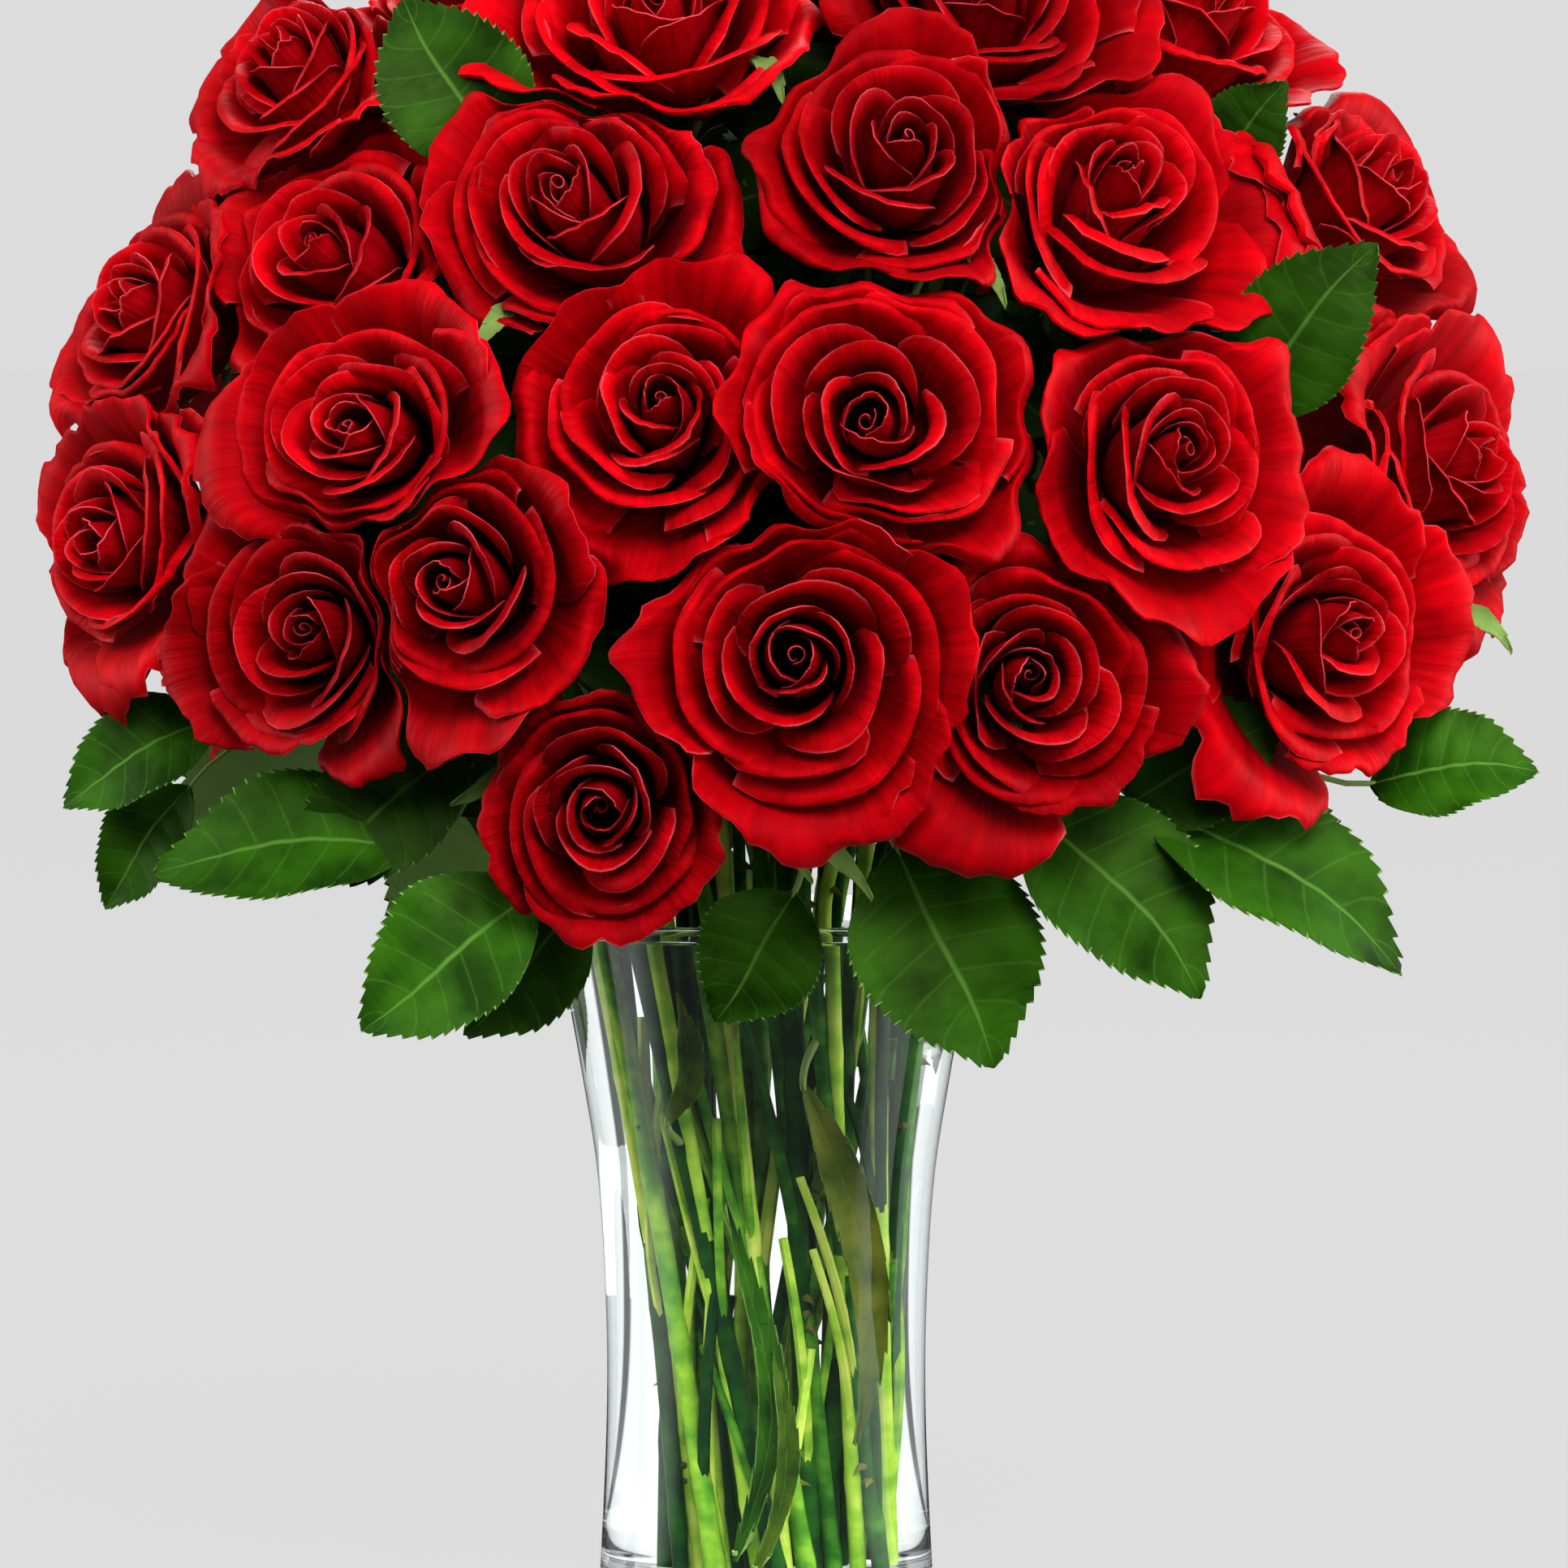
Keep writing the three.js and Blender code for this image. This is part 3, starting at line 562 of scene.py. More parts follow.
@dataclass
class RoseHead:
    """One flower head: a small scroll in a heart of cupped petals, and two rings of outer petals.

    Attributes:
        flower: Where the head stands.
        index: The head's number, which also seeds its irregularities.
        ring: How many petals an outer ring has.
        thickness: A petal's thickness.
        golden_angle: The angle from one petal of the heart to the next.
        heart: How many petals the heart has.
        openness: The layer of the heart's last petal.
        sink: How deep the heart's middle lies, as a share of the head's height.
        drift: How far the heart stands off the axis, as shares of the radius.
        oval: How oval the rings are, as a share of the radius, and their turn.
        sense: Which side edge of a petal lies outside, 1 or -1.
        tone: How far the flower's red is darkened by painted shade (below 1) or lightened by painted light
            (above 1), as a share of the finish's own.
    """

    flower: Flower
    index: int
    ring: int = 5
    thickness: float = 0.35
    golden_angle: float = math.radians(137.5)
    heart: int = field(init=False)
    openness: float = field(init=False)
    sink: float = field(init=False)
    drift: Array = field(init=False)
    oval: Array = field(init=False)
    sense: int = field(init=False)
    tone: float = field(init=False)

    def __post_init__(self) -> None:
        """Choose what sets this head apart from the others."""
        # Painted shade or painted light for the whole flower, by how it sits in the light
        self.tone = PAINTED_SHADING.get(self.index, 1.0)
        rng = np.random.default_rng(100 + self.index)
        self.heart = int(rng.integers(11, 16))
        self.openness = rng.uniform(0.46, 0.62)
        self.sink = rng.uniform(0.04, 0.13)
        self.drift = rng.uniform(-0.15, 0.15, 2) + np.array([0, 0.05])
        self.oval = np.array([rng.uniform(0.0, 0.07), rng.uniform(0, math.pi)])
        self.sense = 1 if rng.uniform() < 0.5 else -1

    def build(self, finish: Material) -> None:
        """Make the head's petals as one piece.

        Args:
            finish: The petals' material.
        """
        rng = np.random.default_rng(300 + self.index)
        kinds = [self.heart_petals, self.second_petals, self.outer_petals, self.scroll]
        if self.index in GUARDS:
            kinds.append(self.guard_petals)
        name = f"rose_{self.index + 1:02d}"
        make_piece(f"{name}_petals", Surface.joined([kind(rng) for kind in kinds]), finish, name)

    def place(self, radius: Array, angle: Array, height: Array, layer: Any = 0.0, press: float = 1.0) -> Array:
        """Find points of the head: its heart stands off the axis, its rings are oval, and neighbours press it.

        Args:
            radius: The distances from the axis.
            angle: The directions round it.
            height: The heights above the foot.
            layer: The petals' layers; inner ones are pressed sooner.
            press: How far neighbours press the points back, from 0 to 1.

        Returns:
            The points.
        """
        size = self.flower.radius
        raised = smooth_step(0.25, 0.7, height / self.flower.height)
        share = np.clip(1 - radius / size, 0, 1) * raised
        radius = radius * (1 + self.oval[0] * np.cos(2 * (angle - self.oval[1])))
        side = self.drift[0] * self.flower.across + self.drift[1] * self.flower.up
        points = self.flower.points(radius, angle, height) + (size * share)[..., None] * side
        return mix(points, pressed(points, self.flower, mix(0.6, 0.8, np.clip(layer, 0, 1))), press)

    def free_reach(self, angle: Array) -> Array:
        """Measure how far the head could reach in directions round its axis.

        Args:
            angle: The directions.

        Returns:
            The reach in each, as a share of the radius. It is short where no flower stands beyond.
        """
        outward = np.cos(angle)[:, None] * self.flower.across + np.sin(angle)[:, None] * self.flower.up
        reach = np.full(len(angle), REACH_MOST)
        for contact in contacts(self.flower):
            slant = np.maximum(outward @ contact.way, 0.3)
            reach = np.minimum(reach, contact.limit / self.flower.radius / slant)
        steps = np.array([f.middle - self.flower.middle for f in FLOWERS if f is not self.flower])
        steps = steps[np.linalg.norm(steps, axis=1) < REACH_BEYOND * self.flower.radius]
        inside = (outward @ unit(steps).T).max(1) > 0.82
        return np.where(reach > REACH_FREE, np.where(inside, REACH_GAP, REACH_EDGE), reach)

    def overlap(self, angle: Array) -> Array:
        """Tell how far the head lies over its neighbours, as bell curves about the directions to them.

        Args:
            angle: Directions round the axis.

        Returns:
            From -1 (under) to 1 (over), for each direction.
        """
        total = np.zeros_like(angle)
        for contact in contacts(self.flower):
            at = math.atan2(contact.toward @ self.flower.up, contact.toward @ self.flower.across)
            apart = (angle - at + math.pi) % math.tau - math.pi
            total += contact.over * np.exp(-((apart / 0.5) ** 2))
        return np.clip(total, -1, 1)

    def gap_directions(self) -> tuple[Array, Array]:
        """Choose directions for the outermost petals, near the gaps between the neighbours.

        The ring as a whole is turned to where its petals reach furthest, and then each petal by itself, with
        less weight the further it is from its even place.

        Returns:
            The directions, and the reach in each.
        """
        fine = np.radians(np.arange(0, 360, 3))
        reach = self.free_reach(fine)
        step = len(fine) // self.ring
        total = sum(np.roll(reach, -k * step) for k in range(self.ring))
        first = int(np.argmax(total[:step]))
        nudges = np.arange(-8, 9)
        places = (first + step * np.arange(self.ring)[:, None] + nudges) % len(fine)
        best = np.argmax(reach[places] - 0.004 * nudges**2, axis=1)
        chosen = places[np.arange(self.ring), best]
        return fine[chosen], reach[chosen]

    def line(self, layer: Array, t: Array) -> tuple[Array, Array, Array, Array]:
        """Work out a petal's middle line, a cubic Bezier curve from the foot to the rim.

        Args:
            layer: 0 for the heart's innermost petals, 1 for the outermost.
            t: Shares along the line.

        Returns:
            The radius and the height, and their rates of change along the line, in millimetres.
        """
        sunk = self.sink * np.clip(1 - layer / 0.4, 0, 1)
        r = [0.1, mix(0.16, 0.72, layer), mix(0.24, 0.8, layer), mix(0.07, 1.14, layer)]
        z = [0.0, mix(0.1, 0.16, layer), mix(0.62, 0.74, layer) - sunk / 2, mix(0.98, 0.62, layer) - sunk]
        slope = [3 * (1 - t) ** 2, 6 * t * (1 - t), 3 * t * t]
        radius, height = self.flower.radius, self.flower.height
        return (
            radius * bezier(t, *r),
            height * bezier(t, *z),
            radius * sum(a * (c - b) for a, b, c in zip(slope, r, r[1:])),
            height * sum(a * (c - b) for a, b, c in zip(slope, z, z[1:])),
        )

    def petals(self, u: Array, v: Array, plan: dict[str, Any], press: float = 1.0) -> Surface:
        """Make petals of one kind.

        A petal's middle line is spread round the flower's axis over its angle. Its outline drops towards the
        sides, its rim rolls outwards on an arc that fades towards the sides, one side edge lies outside the
        other, and the rim waves.

        Args:
            u: Across, from -1 to 1.
            v: Along, from 0 to 1.
            plan: For each petal, or once for all, its layer, turn, angle (half its width), shift, corner and
                square (how far and how late the outline drops), skew, tip, ragged, start, roll and fade of the
                rolled rim, curl, wave, waves, phase, tint and lift (how far it rises over, or dips under, a
                neighbour).
            press: How far neighbours press the petals back, from 0 to 1.

        Returns:
            The petals as closed shells.
        """
        p = {key: np.reshape(x, (-1, 1, 1)) for key, x in plan.items()}
        across, along = u[None, None, :], v[None, :, None]
        side = np.abs(across)
        ragged = np.sin(7 * across + p["phase"]) + 0.6 * np.sin(15 * across + 2.3 * p["phase"])
        ragged += 0.5 * np.sin(27 * across + 5.1 * p["phase"])
        outline = 1 - p["corner"] * side ** p["square"] + p["tip"] * np.exp(-((across / 0.16) ** 2))
        outline += p["ragged"] * ragged + p["skew"] * across
        r, z, dr, dz = self.line(p["layer"], along * outline)
        speed = np.hypot(dr, dz)
        tr, tz = dr / speed, dz / speed
        share = np.clip((along - p["start"]) / (1 - p["start"]), 0, 1)
        angle = p["roll"] * (1 - p["fade"] * side**2) + 0.05
        length = (1 - p["start"]) * speed
        bend = length / angle
        out, on = bend * (1 - np.cos(share * angle)), bend * np.sin(share * angle) - share * length
        size = self.flower.radius
        out += size * p["curl"] * side**3 * along**2
        out += size * p["wave"] * along**4 * np.sin(across * p["waves"] + p["phase"])
        radius = r + out * tz + on * tr + size * self.sense * p["shift"] * across * along
        height = z - out * tr + on * tz + FOOT_GAP
        turn = p["turn"] + across * p["angle"]
        height = height + size * p["lift"] * self.overlap(turn) * along**2
        grid = self.place(radius, turn, height, p["layer"], press)
        # Every point carries the flower's painted shade or painted light
        tone = np.full(len(grid), self.tone)
        return shell(grid, self.thickness, u, v, {"layer": plan["layer"], "tint": plan["tint"], "tone": tone})

    def heart_petals(self, rng: Random) -> Surface:
        """Make petals that follow each other by the golden angle, each a little further out than the last.

        Args:
            rng: Random draws.

        Returns:
            The heart.
        """
        n = self.heart
        rank = np.arange(n) / (n - 1)
        return self.petals(HEART_COLUMNS, HEART_ROWS, {
            "layer": mix(0.0, self.openness, rank**1.35) + rng.uniform(-0.025, 0.025, n),
            "turn": math.radians(self.flower.spin) + self.sense * self.golden_angle * np.arange(n),
            "angle": np.radians(mix(100, 58, rank) + rng.uniform(-12, 12, n)),
            "shift": mix(0.03, 0.08, rank) * rng.uniform(0.6, 1.5, n),
            "corner": mix(0.2, 0.44, rank**0.6) + rng.uniform(-0.05, 0.05, n),
            "square": rng.uniform(1.8, 2.8, n),
            "tip": rng.uniform(0, 0.04, n),
            "skew": rng.uniform(-0.03, 0.03, n),
            "ragged": 0.009,
            "start": mix(0.93, 0.82, rank),
            "roll": np.radians(mix(20, 130, rank**0.7) * rng.uniform(0.5, 1.2, n)),
            "fade": 0.8,
            "curl": 0.0,
            "wave": mix(0.01, 0.024, rank) * rng.uniform(0.3, 1.5, n),
            "waves": rng.uniform(3, 6, n),
            "phase": rng.uniform(0, math.tau, n),
            "tint": rng.uniform(0, 1, n),
            "lift": 0.0,
        })

    def second_petals(self, rng: Random) -> Surface:
        """Make a ring of cupped petals round the heart, with broad rolled rims.

        Args:
            rng: Random draws.

        Returns:
            The ring.
        """
        n = self.ring - 1
        spread = math.tau * (np.arange(n) + 0.5) / n
        return self.petals(SECOND_COLUMNS, ROWS, {
            "layer": self.openness + 0.14 + rng.uniform(-0.05, 0.05, n),
            "turn": math.radians(self.flower.spin) + spread + rng.uniform(-0.25, 0.25, n),
            "angle": np.radians(66 + rng.uniform(-8, 8, n)),
            "shift": 0.09,
            "corner": 0.3 + rng.uniform(-0.06, 0.06, n),
            "square": rng.uniform(2.2, 3.2, n),
            "tip": rng.uniform(0.0, 0.08, n),
            "skew": rng.uniform(-0.05, 0.05, n),
            "ragged": 0.4 * RAGGED.get(self.index, RAGGED_RIM),
            "start": 0.79,
            "roll": np.radians(150 * rng.uniform(0.5, 1.15, n)),
            "fade": 0.6,
            "curl": 0.03 * rng.uniform(0.3, 1.6, n),
            "wave": 0.03 * rng.uniform(0.4, 1.5, n),
            "waves": rng.uniform(3, 7, n),
            "phase": rng.uniform(0, math.tau, n),
            "tint": rng.uniform(0, 1, n),
            "lift": 0.04,
        })

    def outermost(
        self, rng: Random, kind: OuterKind, turn: Array, layer: Array, drop: Any, ragged: float
    ) -> Surface:
        """Make wide flat petals with sides that roll back.

        Args:
            rng: Random draws.
            kind: Their sizes.
            turn: Their directions round the axis.
            layer: Their layers.
            drop: How far their outlines drop at the sides, before the kind's random part.
            ragged: How ragged their rims are.

        Returns:
            The petals.
        """
        n = len(turn)
        return self.petals(OUTER_COLUMNS, ROWS, {
            "layer": layer,
            "turn": turn,
            "angle": np.radians(kind.width + rng.uniform(-5, 6, n)),
            "shift": 0.05,
            "corner": drop + rng.uniform(*kind.corner, n),
            "square": rng.uniform(*kind.square, n),
            "tip": rng.uniform(*kind.tip, n),
            "skew": rng.uniform(-0.1, 0.1, n),
            "ragged": ragged,
            "start": 0.9,
            "roll": np.radians(kind.roll * rng.uniform(0.2, 1.6, n)),
            "fade": -0.6,
            "curl": 0.05 * rng.uniform(0.0, 1.8, n),
            "wave": kind.wave * rng.uniform(0.4, 1.5, n),
            "waves": rng.uniform(3, 7, n),
            "phase": rng.uniform(0, math.tau, n),
            "tint": rng.uniform(*kind.tint, n),
            "lift": kind.lift,
        }, kind.press)

    def outer_petals(self, rng: Random) -> Surface:
        """Make the outermost ring, each petal laid towards a gap between the neighbours.

        Args:
            rng: Random draws.

        Returns:
            The ring.
        """
        turn, reach = self.gap_directions()
        layer = np.clip(0.5 + 0.51 * reach, 0.76, NARROW.get(self.index, WIDEST_LAYER))
        drop = mix(0.14, 0.4, (layer - 0.76) / 0.46)
        spread = layer + rng.uniform(-0.05, 0.03, self.ring)
        return self.outermost(rng, OUTER, turn, spread, drop, RAGGED.get(self.index, RAGGED_RIM))

    def guard_petals(self, rng: Random) -> Surface:
        """Make further petals behind the flower that hang into open gaps, with pointed and ragged ends."""
        turn, layer = np.array(GUARDS[self.index], float).T
        return self.outermost(rng, GUARD, np.radians(turn), layer, 0.0, 0.035)

    def scroll(self, rng: Random) -> Surface:
        """Make the bud's tip: one sheet wound in a narrow spiral that widens outwards.

        Args:
            rng: Random draws.

        Returns:
            The wound sheet.
        """
        u, v = np.linspace(-1, 1, 26), np.linspace(0, 1, 6)
        share, up = (u[None, :] + 1) / 2, v[:, None]
        size, tall = self.flower.radius, self.flower.height
        waves = 1 + 0.4 * np.sin(3.1 * math.pi * share + rng.uniform(0, 6))
        radius = size * mix(0.015, 0.075, share) * waves * mix(1.2, 1, up)
        top = 0.93 - self.sink * rng.uniform(0.9, 1.5) - 0.06 * share
        top = top + 0.02 * np.sin(9 * share + rng.uniform(0, 6))
        height = tall * mix(0.6, 1, up) * top + FOOT_GAP
        angle = math.radians(self.flower.spin) + self.sense * 2.4 * math.pi * share + 0 * up
        grid = self.place(radius, angle, height)
        # The scroll carries the flower's painted shade or painted light too
        values = {"layer": np.zeros(1), "tint": np.full(1, 0.5), "tone": np.full(1, self.tone)}
        return shell(grid[None], self.thickness, u, v, values)


# The vase's height and the thickness of its floor
VASE_HEIGHT = 203
VASE_FLOOR = 15

# A stem's radius, where it ends above the floor, and the calyx under a flower
STEM_RADIUS = 2.4
STEM_FOOT = VASE_FLOOR + 1.6
CALYX_LENGTH = 9

# Slots for pairs of stems in the mouth, and how their pattern shrinks and turns down to the floor
WIDEST_LEAN = math.radians(80)
SLOT_RADIUS = 38
SLOT_SPACING = 16.4
SLOT_ROUNDS = 300
SLOT_TWIST = math.radians(55)
FLOOR_SCALE = 0.66
PAIR_HALF_GAP = 2.7

# The curve of a stem above the mouth: its handles as shares of its length, and the places of its corners
MOUTH_HANDLE = 0.4
NECK_HANDLE = 0.35
STEM_STEPS = (0, 0.3, 0.6, 0.85)

# How far apart stems, and a stem and a calyx, are pushed
STEM_APART = 2 * STEM_RADIUS + 1.6
CALYX_APART = 12
NEAR_MARGIN = 8
UNTANGLE_ROUNDS = 80

# How far out and how high side shoots in the water may end
SHOOT_RADIUS = 27
SHOOT_TOP = 190


@dataclass
class StemPath:
    """The line of one stem.

    Attributes:
        flower: The flower that it carries.
        pair: The number of its pair.
        floor: Its cut foot.
        points: Its corners from the vase's mouth to the flower's neck.
    """

    flower: Flower
    pair: int
    floor: Array
    points: Array

    def inside(self, height: float) -> Array:
        """The point of the straight part in the vase at a height."""
        return mix(self.floor, self.points[0], (height - self.floor[2]) / (self.points[0][2] - self.floor[2]))


@dataclass
class Bundle:
    """All stems of the bouquet, two by two.

    The two stems of a pair lean on each other in the vase's neck. Each pair has one slot in the mouth, and the
    pattern of slots is turned and shrunk down to the floor, as in a hand-tied spiral.

    Attributes:
        pairs: The numbers of each pair's flowers.
        slots: Each pair's place in the mouth.
        paths: The stems' lines.
    """

    pairs: list[list[int]] = field(init=False)
    slots: Array = field(init=False)
    paths: list[StemPath] = field(init=False)

    def __post_init__(self) -> None:
        """Pair the flowers, place the slots and lay the stems."""
        self.pairs = self.pair_up()
        self.slots = self.place_slots()
        self.paths = [self.curve(k, member) for k in range(len(self.pairs)) for member in (0, 1)]
        self.untangle()

    def pair_up(self) -> list[list[int]]:
        """Pair neighbouring flowers: partners are swapped until no swap brings them nearer to each other.

        Returns:
            The numbers of each pair's flowers.
        """
        feet = np.array([f.foot for f in FLOWERS])
        apart = np.linalg.norm(feet[:, None] - feet[None], axis=-1)
        pairs = [[k, k + 1] for k in range(0, len(FLOWERS), 2)]
        least = 0.01
        changed = True
        while changed:
            changed = False
            for one, two in itertools.product(pairs, pairs):
                (a, b), (c, d) = one, two
                if one is two or apart[a, c] + apart[b, d] >= apart[a, b] + apart[c, d] - least:
                    continue
                one[1], two[0] = c, b
                changed = True
        return pairs

    def place_slots(self) -> Array:
        """Place slots in the mouth: each starts in the direction of its flowers, and they push apart.

        Returns:
            The slots' places, one a row.
        """
        mouth = np.array([0, 0, VASE_HEIGHT])
        toward = np.array([sum(unit(FLOWERS[k].foot - mouth) for k in pair) for pair in self.pairs])
        flat = np.linalg.norm(toward[:, :2], axis=1)
        reach = np.minimum(1, np.arctan2(flat, toward[:, 2]) / WIDEST_LEAN) * SLOT_RADIUS
        places = toward[:, :2] / flat[:, None] * reach[:, None]
        for _ in range(SLOT_ROUNDS):
            for i, j in itertools.combinations(range(len(places)), 2):
                way = places[j] - places[i]
                length = math.hypot(*way)
                if length < SLOT_SPACING:
                    push = way / length * (SLOT_SPACING - length) / 2
                    places[i] -= push
                    places[j] += push
            length = np.maximum(np.linalg.norm(places, axis=1, keepdims=True), 1e-9)
            places *= np.minimum(1, SLOT_RADIUS / length)
        return places

    def curve(self, pair: int, member: int) -> StemPath:
        """Lay one stem: straight in the vase, and then a cubic Bezier curve into its flower's axis.

        Args:
            pair: The pair's number.
            member: Which of the pair, 0 or 1.

        Returns:
            The stem's line.
        """
        slot = self.slots[pair]
        offset = PAIR_HALF_GAP if member == 0 else -PAIR_HALF_GAP
        first, second = (FLOWERS[k].foot for k in self.pairs[pair])
        spread = unit((first - second)[:2])
        cos, sin = math.cos(SLOT_TWIST), math.sin(SLOT_TWIST)
        low = FLOOR_SCALE * np.array([[cos, -sin], [sin, cos]]) @ slot - offset * spread
        top = np.array([*(slot + offset * spread), VASE_HEIGHT])
        floor = np.array([*low, STEM_FOOT])
        flower = FLOWERS[self.pairs[pair][member]]
        neck = flower.foot - CALYX_LENGTH * flower.axis
        length = np.linalg.norm(neck - top)
        handles = top + MOUTH_HANDLE * length * unit(top - floor), neck - NECK_HANDLE * length * flower.axis
        t = np.array([*STEM_STEPS, 1])[:, None]
        return StemPath(flower, pair, floor, bezier(t, top, *handles, neck))

    def untangle(self) -> None:
        """Push stems apart where they come too near each other above the mouth, round by round."""
        last = len(STEM_STEPS) - 1
        points = np.array([p.points for p in self.paths])
        partners = [p.pair for p in self.paths]
        for _ in range(UNTANGLE_ROUNDS):
            middle = (points[:, 1:] + points[:, :-1]) / 2
            half = np.linalg.norm(points[:, 1:] - points[:, :-1], axis=-1) / 2
            reach = half[:, None, :, None] + half[None, :, None, :] + CALYX_APART + NEAR_MARGIN
            apart = np.linalg.norm(middle[:, None, :, None] - middle[None, :, None, :], axis=-1)
            for i, j, m, n in np.argwhere(apart < reach):
                if i < j and (partners[i] != partners[j] or m + n > 2):
                    wanted = CALYX_APART if m == last or n == last else STEM_APART
                    self.push(points[i], m, points[j], n, wanted, last)
        for path, moved in zip(self.paths, points):
            path.points = moved

    @staticmethod
    def push(one: Array, m: int, two: Array, n: int, wanted: float, last: int) -> None:
        """Push two straight pieces of different stems apart. The mouth and the calyx stay where they are.

        The nearest points of the two pieces are the shares s and t along them.

        Args:
            one: The first stem's corners.
            m: The number of its piece.
            two: The second stem's corners.
            n: The number of its piece.
            wanted: How far apart the pieces have to be.
            last: The number of a stem's last piece.
        """
        a, b, c, d = one[m], one[m + 1], two[n], two[n + 1]
        u, v, w = b - a, d - c, a - c
        uu, uv, vv, uw, vw = u @ u, u @ v, v @ v, u @ w, v @ w
        s = min(1, max(0, (uv * vw - vv * uw) / max(uu * vv - uv * uv, 1e-9)))
        t = min(1, max(0, (uv * s + vw) / vv))
        s = min(1, max(0, (uv * t - uw) / uu))
        way = c + v * t - a - u * s
        length = math.sqrt(way @ way)
        if length >= wanted:
            return
        way = way / length * (wanted - length) / 2
        if m > 0:
            a += way * (s - 1)
        if m < last:
            b -= way * s
        if n > 0:
            c += way * (1 - t)
        if n < last:
            d += way * t


@dataclass
class Stem:
    """One stem with its thorns, its calyx and its sepals.

    Attributes:
        path: The stem's line.
        index: The stem's number, which also seeds its irregularities.
        sides: Corners of the stem's ring.
        spacing: Distance between rings.
        node_spacing: Distance between the joints where leaves have been.
        slimness: The least and the most of its radius, as shares of the usual one.
        swelling: How much a joint swells, as a share of the radius.
        swelling_length: How far the swelling reaches along the stem.
        thorns: How many thorns it has.
        thorn_length: The least and the most of their length.
        side_shoots: How many bare shoots it has in the water.
        shoot_length: The least and the most of their length.
        sepal_count: How many sepals its calyx has.
        sepal_length: How long the longest sepal is.
        calyx: Its outline at the flower's foot, as heights along the flower's axis and radii.
    """

    path: StemPath
    index: int
    sides: int = 9
    spacing: float = 4.5
    node_spacing: float = 62.0
    slimness: tuple[float, float] = (0.72, 1.16)
    swelling: float = 0.16
    swelling_length: float = 3.5
    thorns: int = 3
    thorn_length: tuple[float, float] = (2.6, 4.2)
    side_shoots: int = 2
    shoot_length: tuple[float, float] = (45, 95)
    sepal_count: int = 5
    sepal_length: float = 24
    calyx: Sequence[Sequence[float]] = ((-9.5, 2.5), (-7, 3.5), (-5, 5.0), (-2.4, 5.9), (-0.4, 5.2), (0.6, 3.0))

    def line(self) -> Array:
        """Work out the stem's centre line, with a ring about every spacing.

        Returns:
            Its points from the cut foot to the flower's foot.
        """
        corners = np.concatenate([self.path.floor[None], self.path.points, self.path.flower.foot[None]])
        spans = np.linalg.norm(np.diff(corners, axis=0), axis=1)
        steps = np.maximum(2, np.round(spans / self.spacing)).astype(int)
        start = unit(corners[1] - corners[0])
        rest = smooth_line(corners[1:], steps[1:], start, self.path.flower.axis)
        low = mix(corners[0], corners[1], np.linspace(0, 1, steps[0], endpoint=False)[:, None])
        return np.concatenate([low, rest])

    def build(self) -> Surface:
        """Make the stem's green parts but for its leaves.

        The radius waves a little, swells as a bell curve at each joint, and follows the calyx near the flower.

        Returns:
            Stalk, thorns, sepals and side shoots.
        """
        rng = np.random.default_rng(500 + self.index)
        line = self.line()
        along = distances(line)
        tint = rng.uniform(0, 1)
        radius = STEM_RADIUS * rng.uniform(*self.slimness) * (1 + 0.03 * np.sin(along / 17 + rng.uniform(0, 6)))
        joint = (along / self.node_spacing + rng.uniform(0, 1)) % 1 - 0.5
        away = joint * self.node_spacing / self.swelling_length
        radius = radius * (1 + self.swelling * np.exp(-(away**2)))
        flower = self.path.flower
        height = (line - flower.foot) @ flower.axis
        near = np.linalg.norm(line - flower.foot, axis=1) < 12
        distance, thick = np.array(self.calyx).T
        radius = np.where(near, np.interp(height, distance, thick), radius)
        ended = np.concatenate([line, [flower.foot + flower.axis * distance[-1]]])
        stalk = tube(ended, np.append(radius, thick[-1]), self.sides, {"tint": tint})
        parts = [stalk, *self.make_thorns(line, radius, tint, rng), self.sepals(rng), *self.make_shoots(rng)]
        return Surface.joined(parts)

    def make_thorns(self, line: Array, radius: Array, tint: float, rng: Random) -> list[Surface]:
        """Make hooked thorns: small tubes that start wide on the stem, shrink to a point and bend down.

        Args:
            line: The stem's centre line.
            radius: Its radius at each point.
            tint: The stem's tint.
            rng: Random draws.

        Returns:
            The thorns.
        """
        made = []
        for at in rng.integers(6, len(line) - 10, self.thorns):
            way = unit(line[at + 1] - line[at - 1])
            out = unit(np.cross(way, rng.normal(size=3)))
            t = np.linspace(0, 1, 5)[:, None]
            size = rng.uniform(*self.thorn_length)
            spine = line[at] + out * (radius[at] * 0.7 + size * t) - way * size * 0.45 * t**2
            made.append(tube(spine, 1.5 * (1 - t[:, 0]) ** 1.3 + 0.06, 6, {"tint": tint, "thorn": 1.0}))
        return made

    def make_shoots(self, rng: Random) -> list[Surface]:
        """Make bare side shoots in the water: thin, cut short, leaning across the stems, clear of the glass.

        Args:
            rng: Random draws.

        Returns:
            The shoots.
        """
        made = []
        for _ in range(self.side_shoots):
            low, length = STEM_FOOT + rng.uniform(4, 105), rng.uniform(*self.shoot_length)
            start, end = self.path.inside(low), self.path.inside(min(low + length, SHOOT_TOP))
            outward = np.array([*unit(start[:2]), 0])
            aside = np.array([-outward[1], outward[0], 0])
            end = end + aside * length * rng.uniform(-0.42, 0.42) + outward * rng.uniform(0, 9)
            end[:2] *= min(1, SHOOT_RADIUS / math.hypot(*end[:2]))
            t = np.linspace(0, 1, 9)[:, None]
            line = mix(start, end, t) + outward * 2.5 * np.sin(math.pi * t)
            thick = np.linspace(1.0, 0.8, 9) * rng.uniform(1.1, 1.8)
            made.append(tube(line, thick, 7, {"tint": rng.uniform(0, 1)}))
        return made

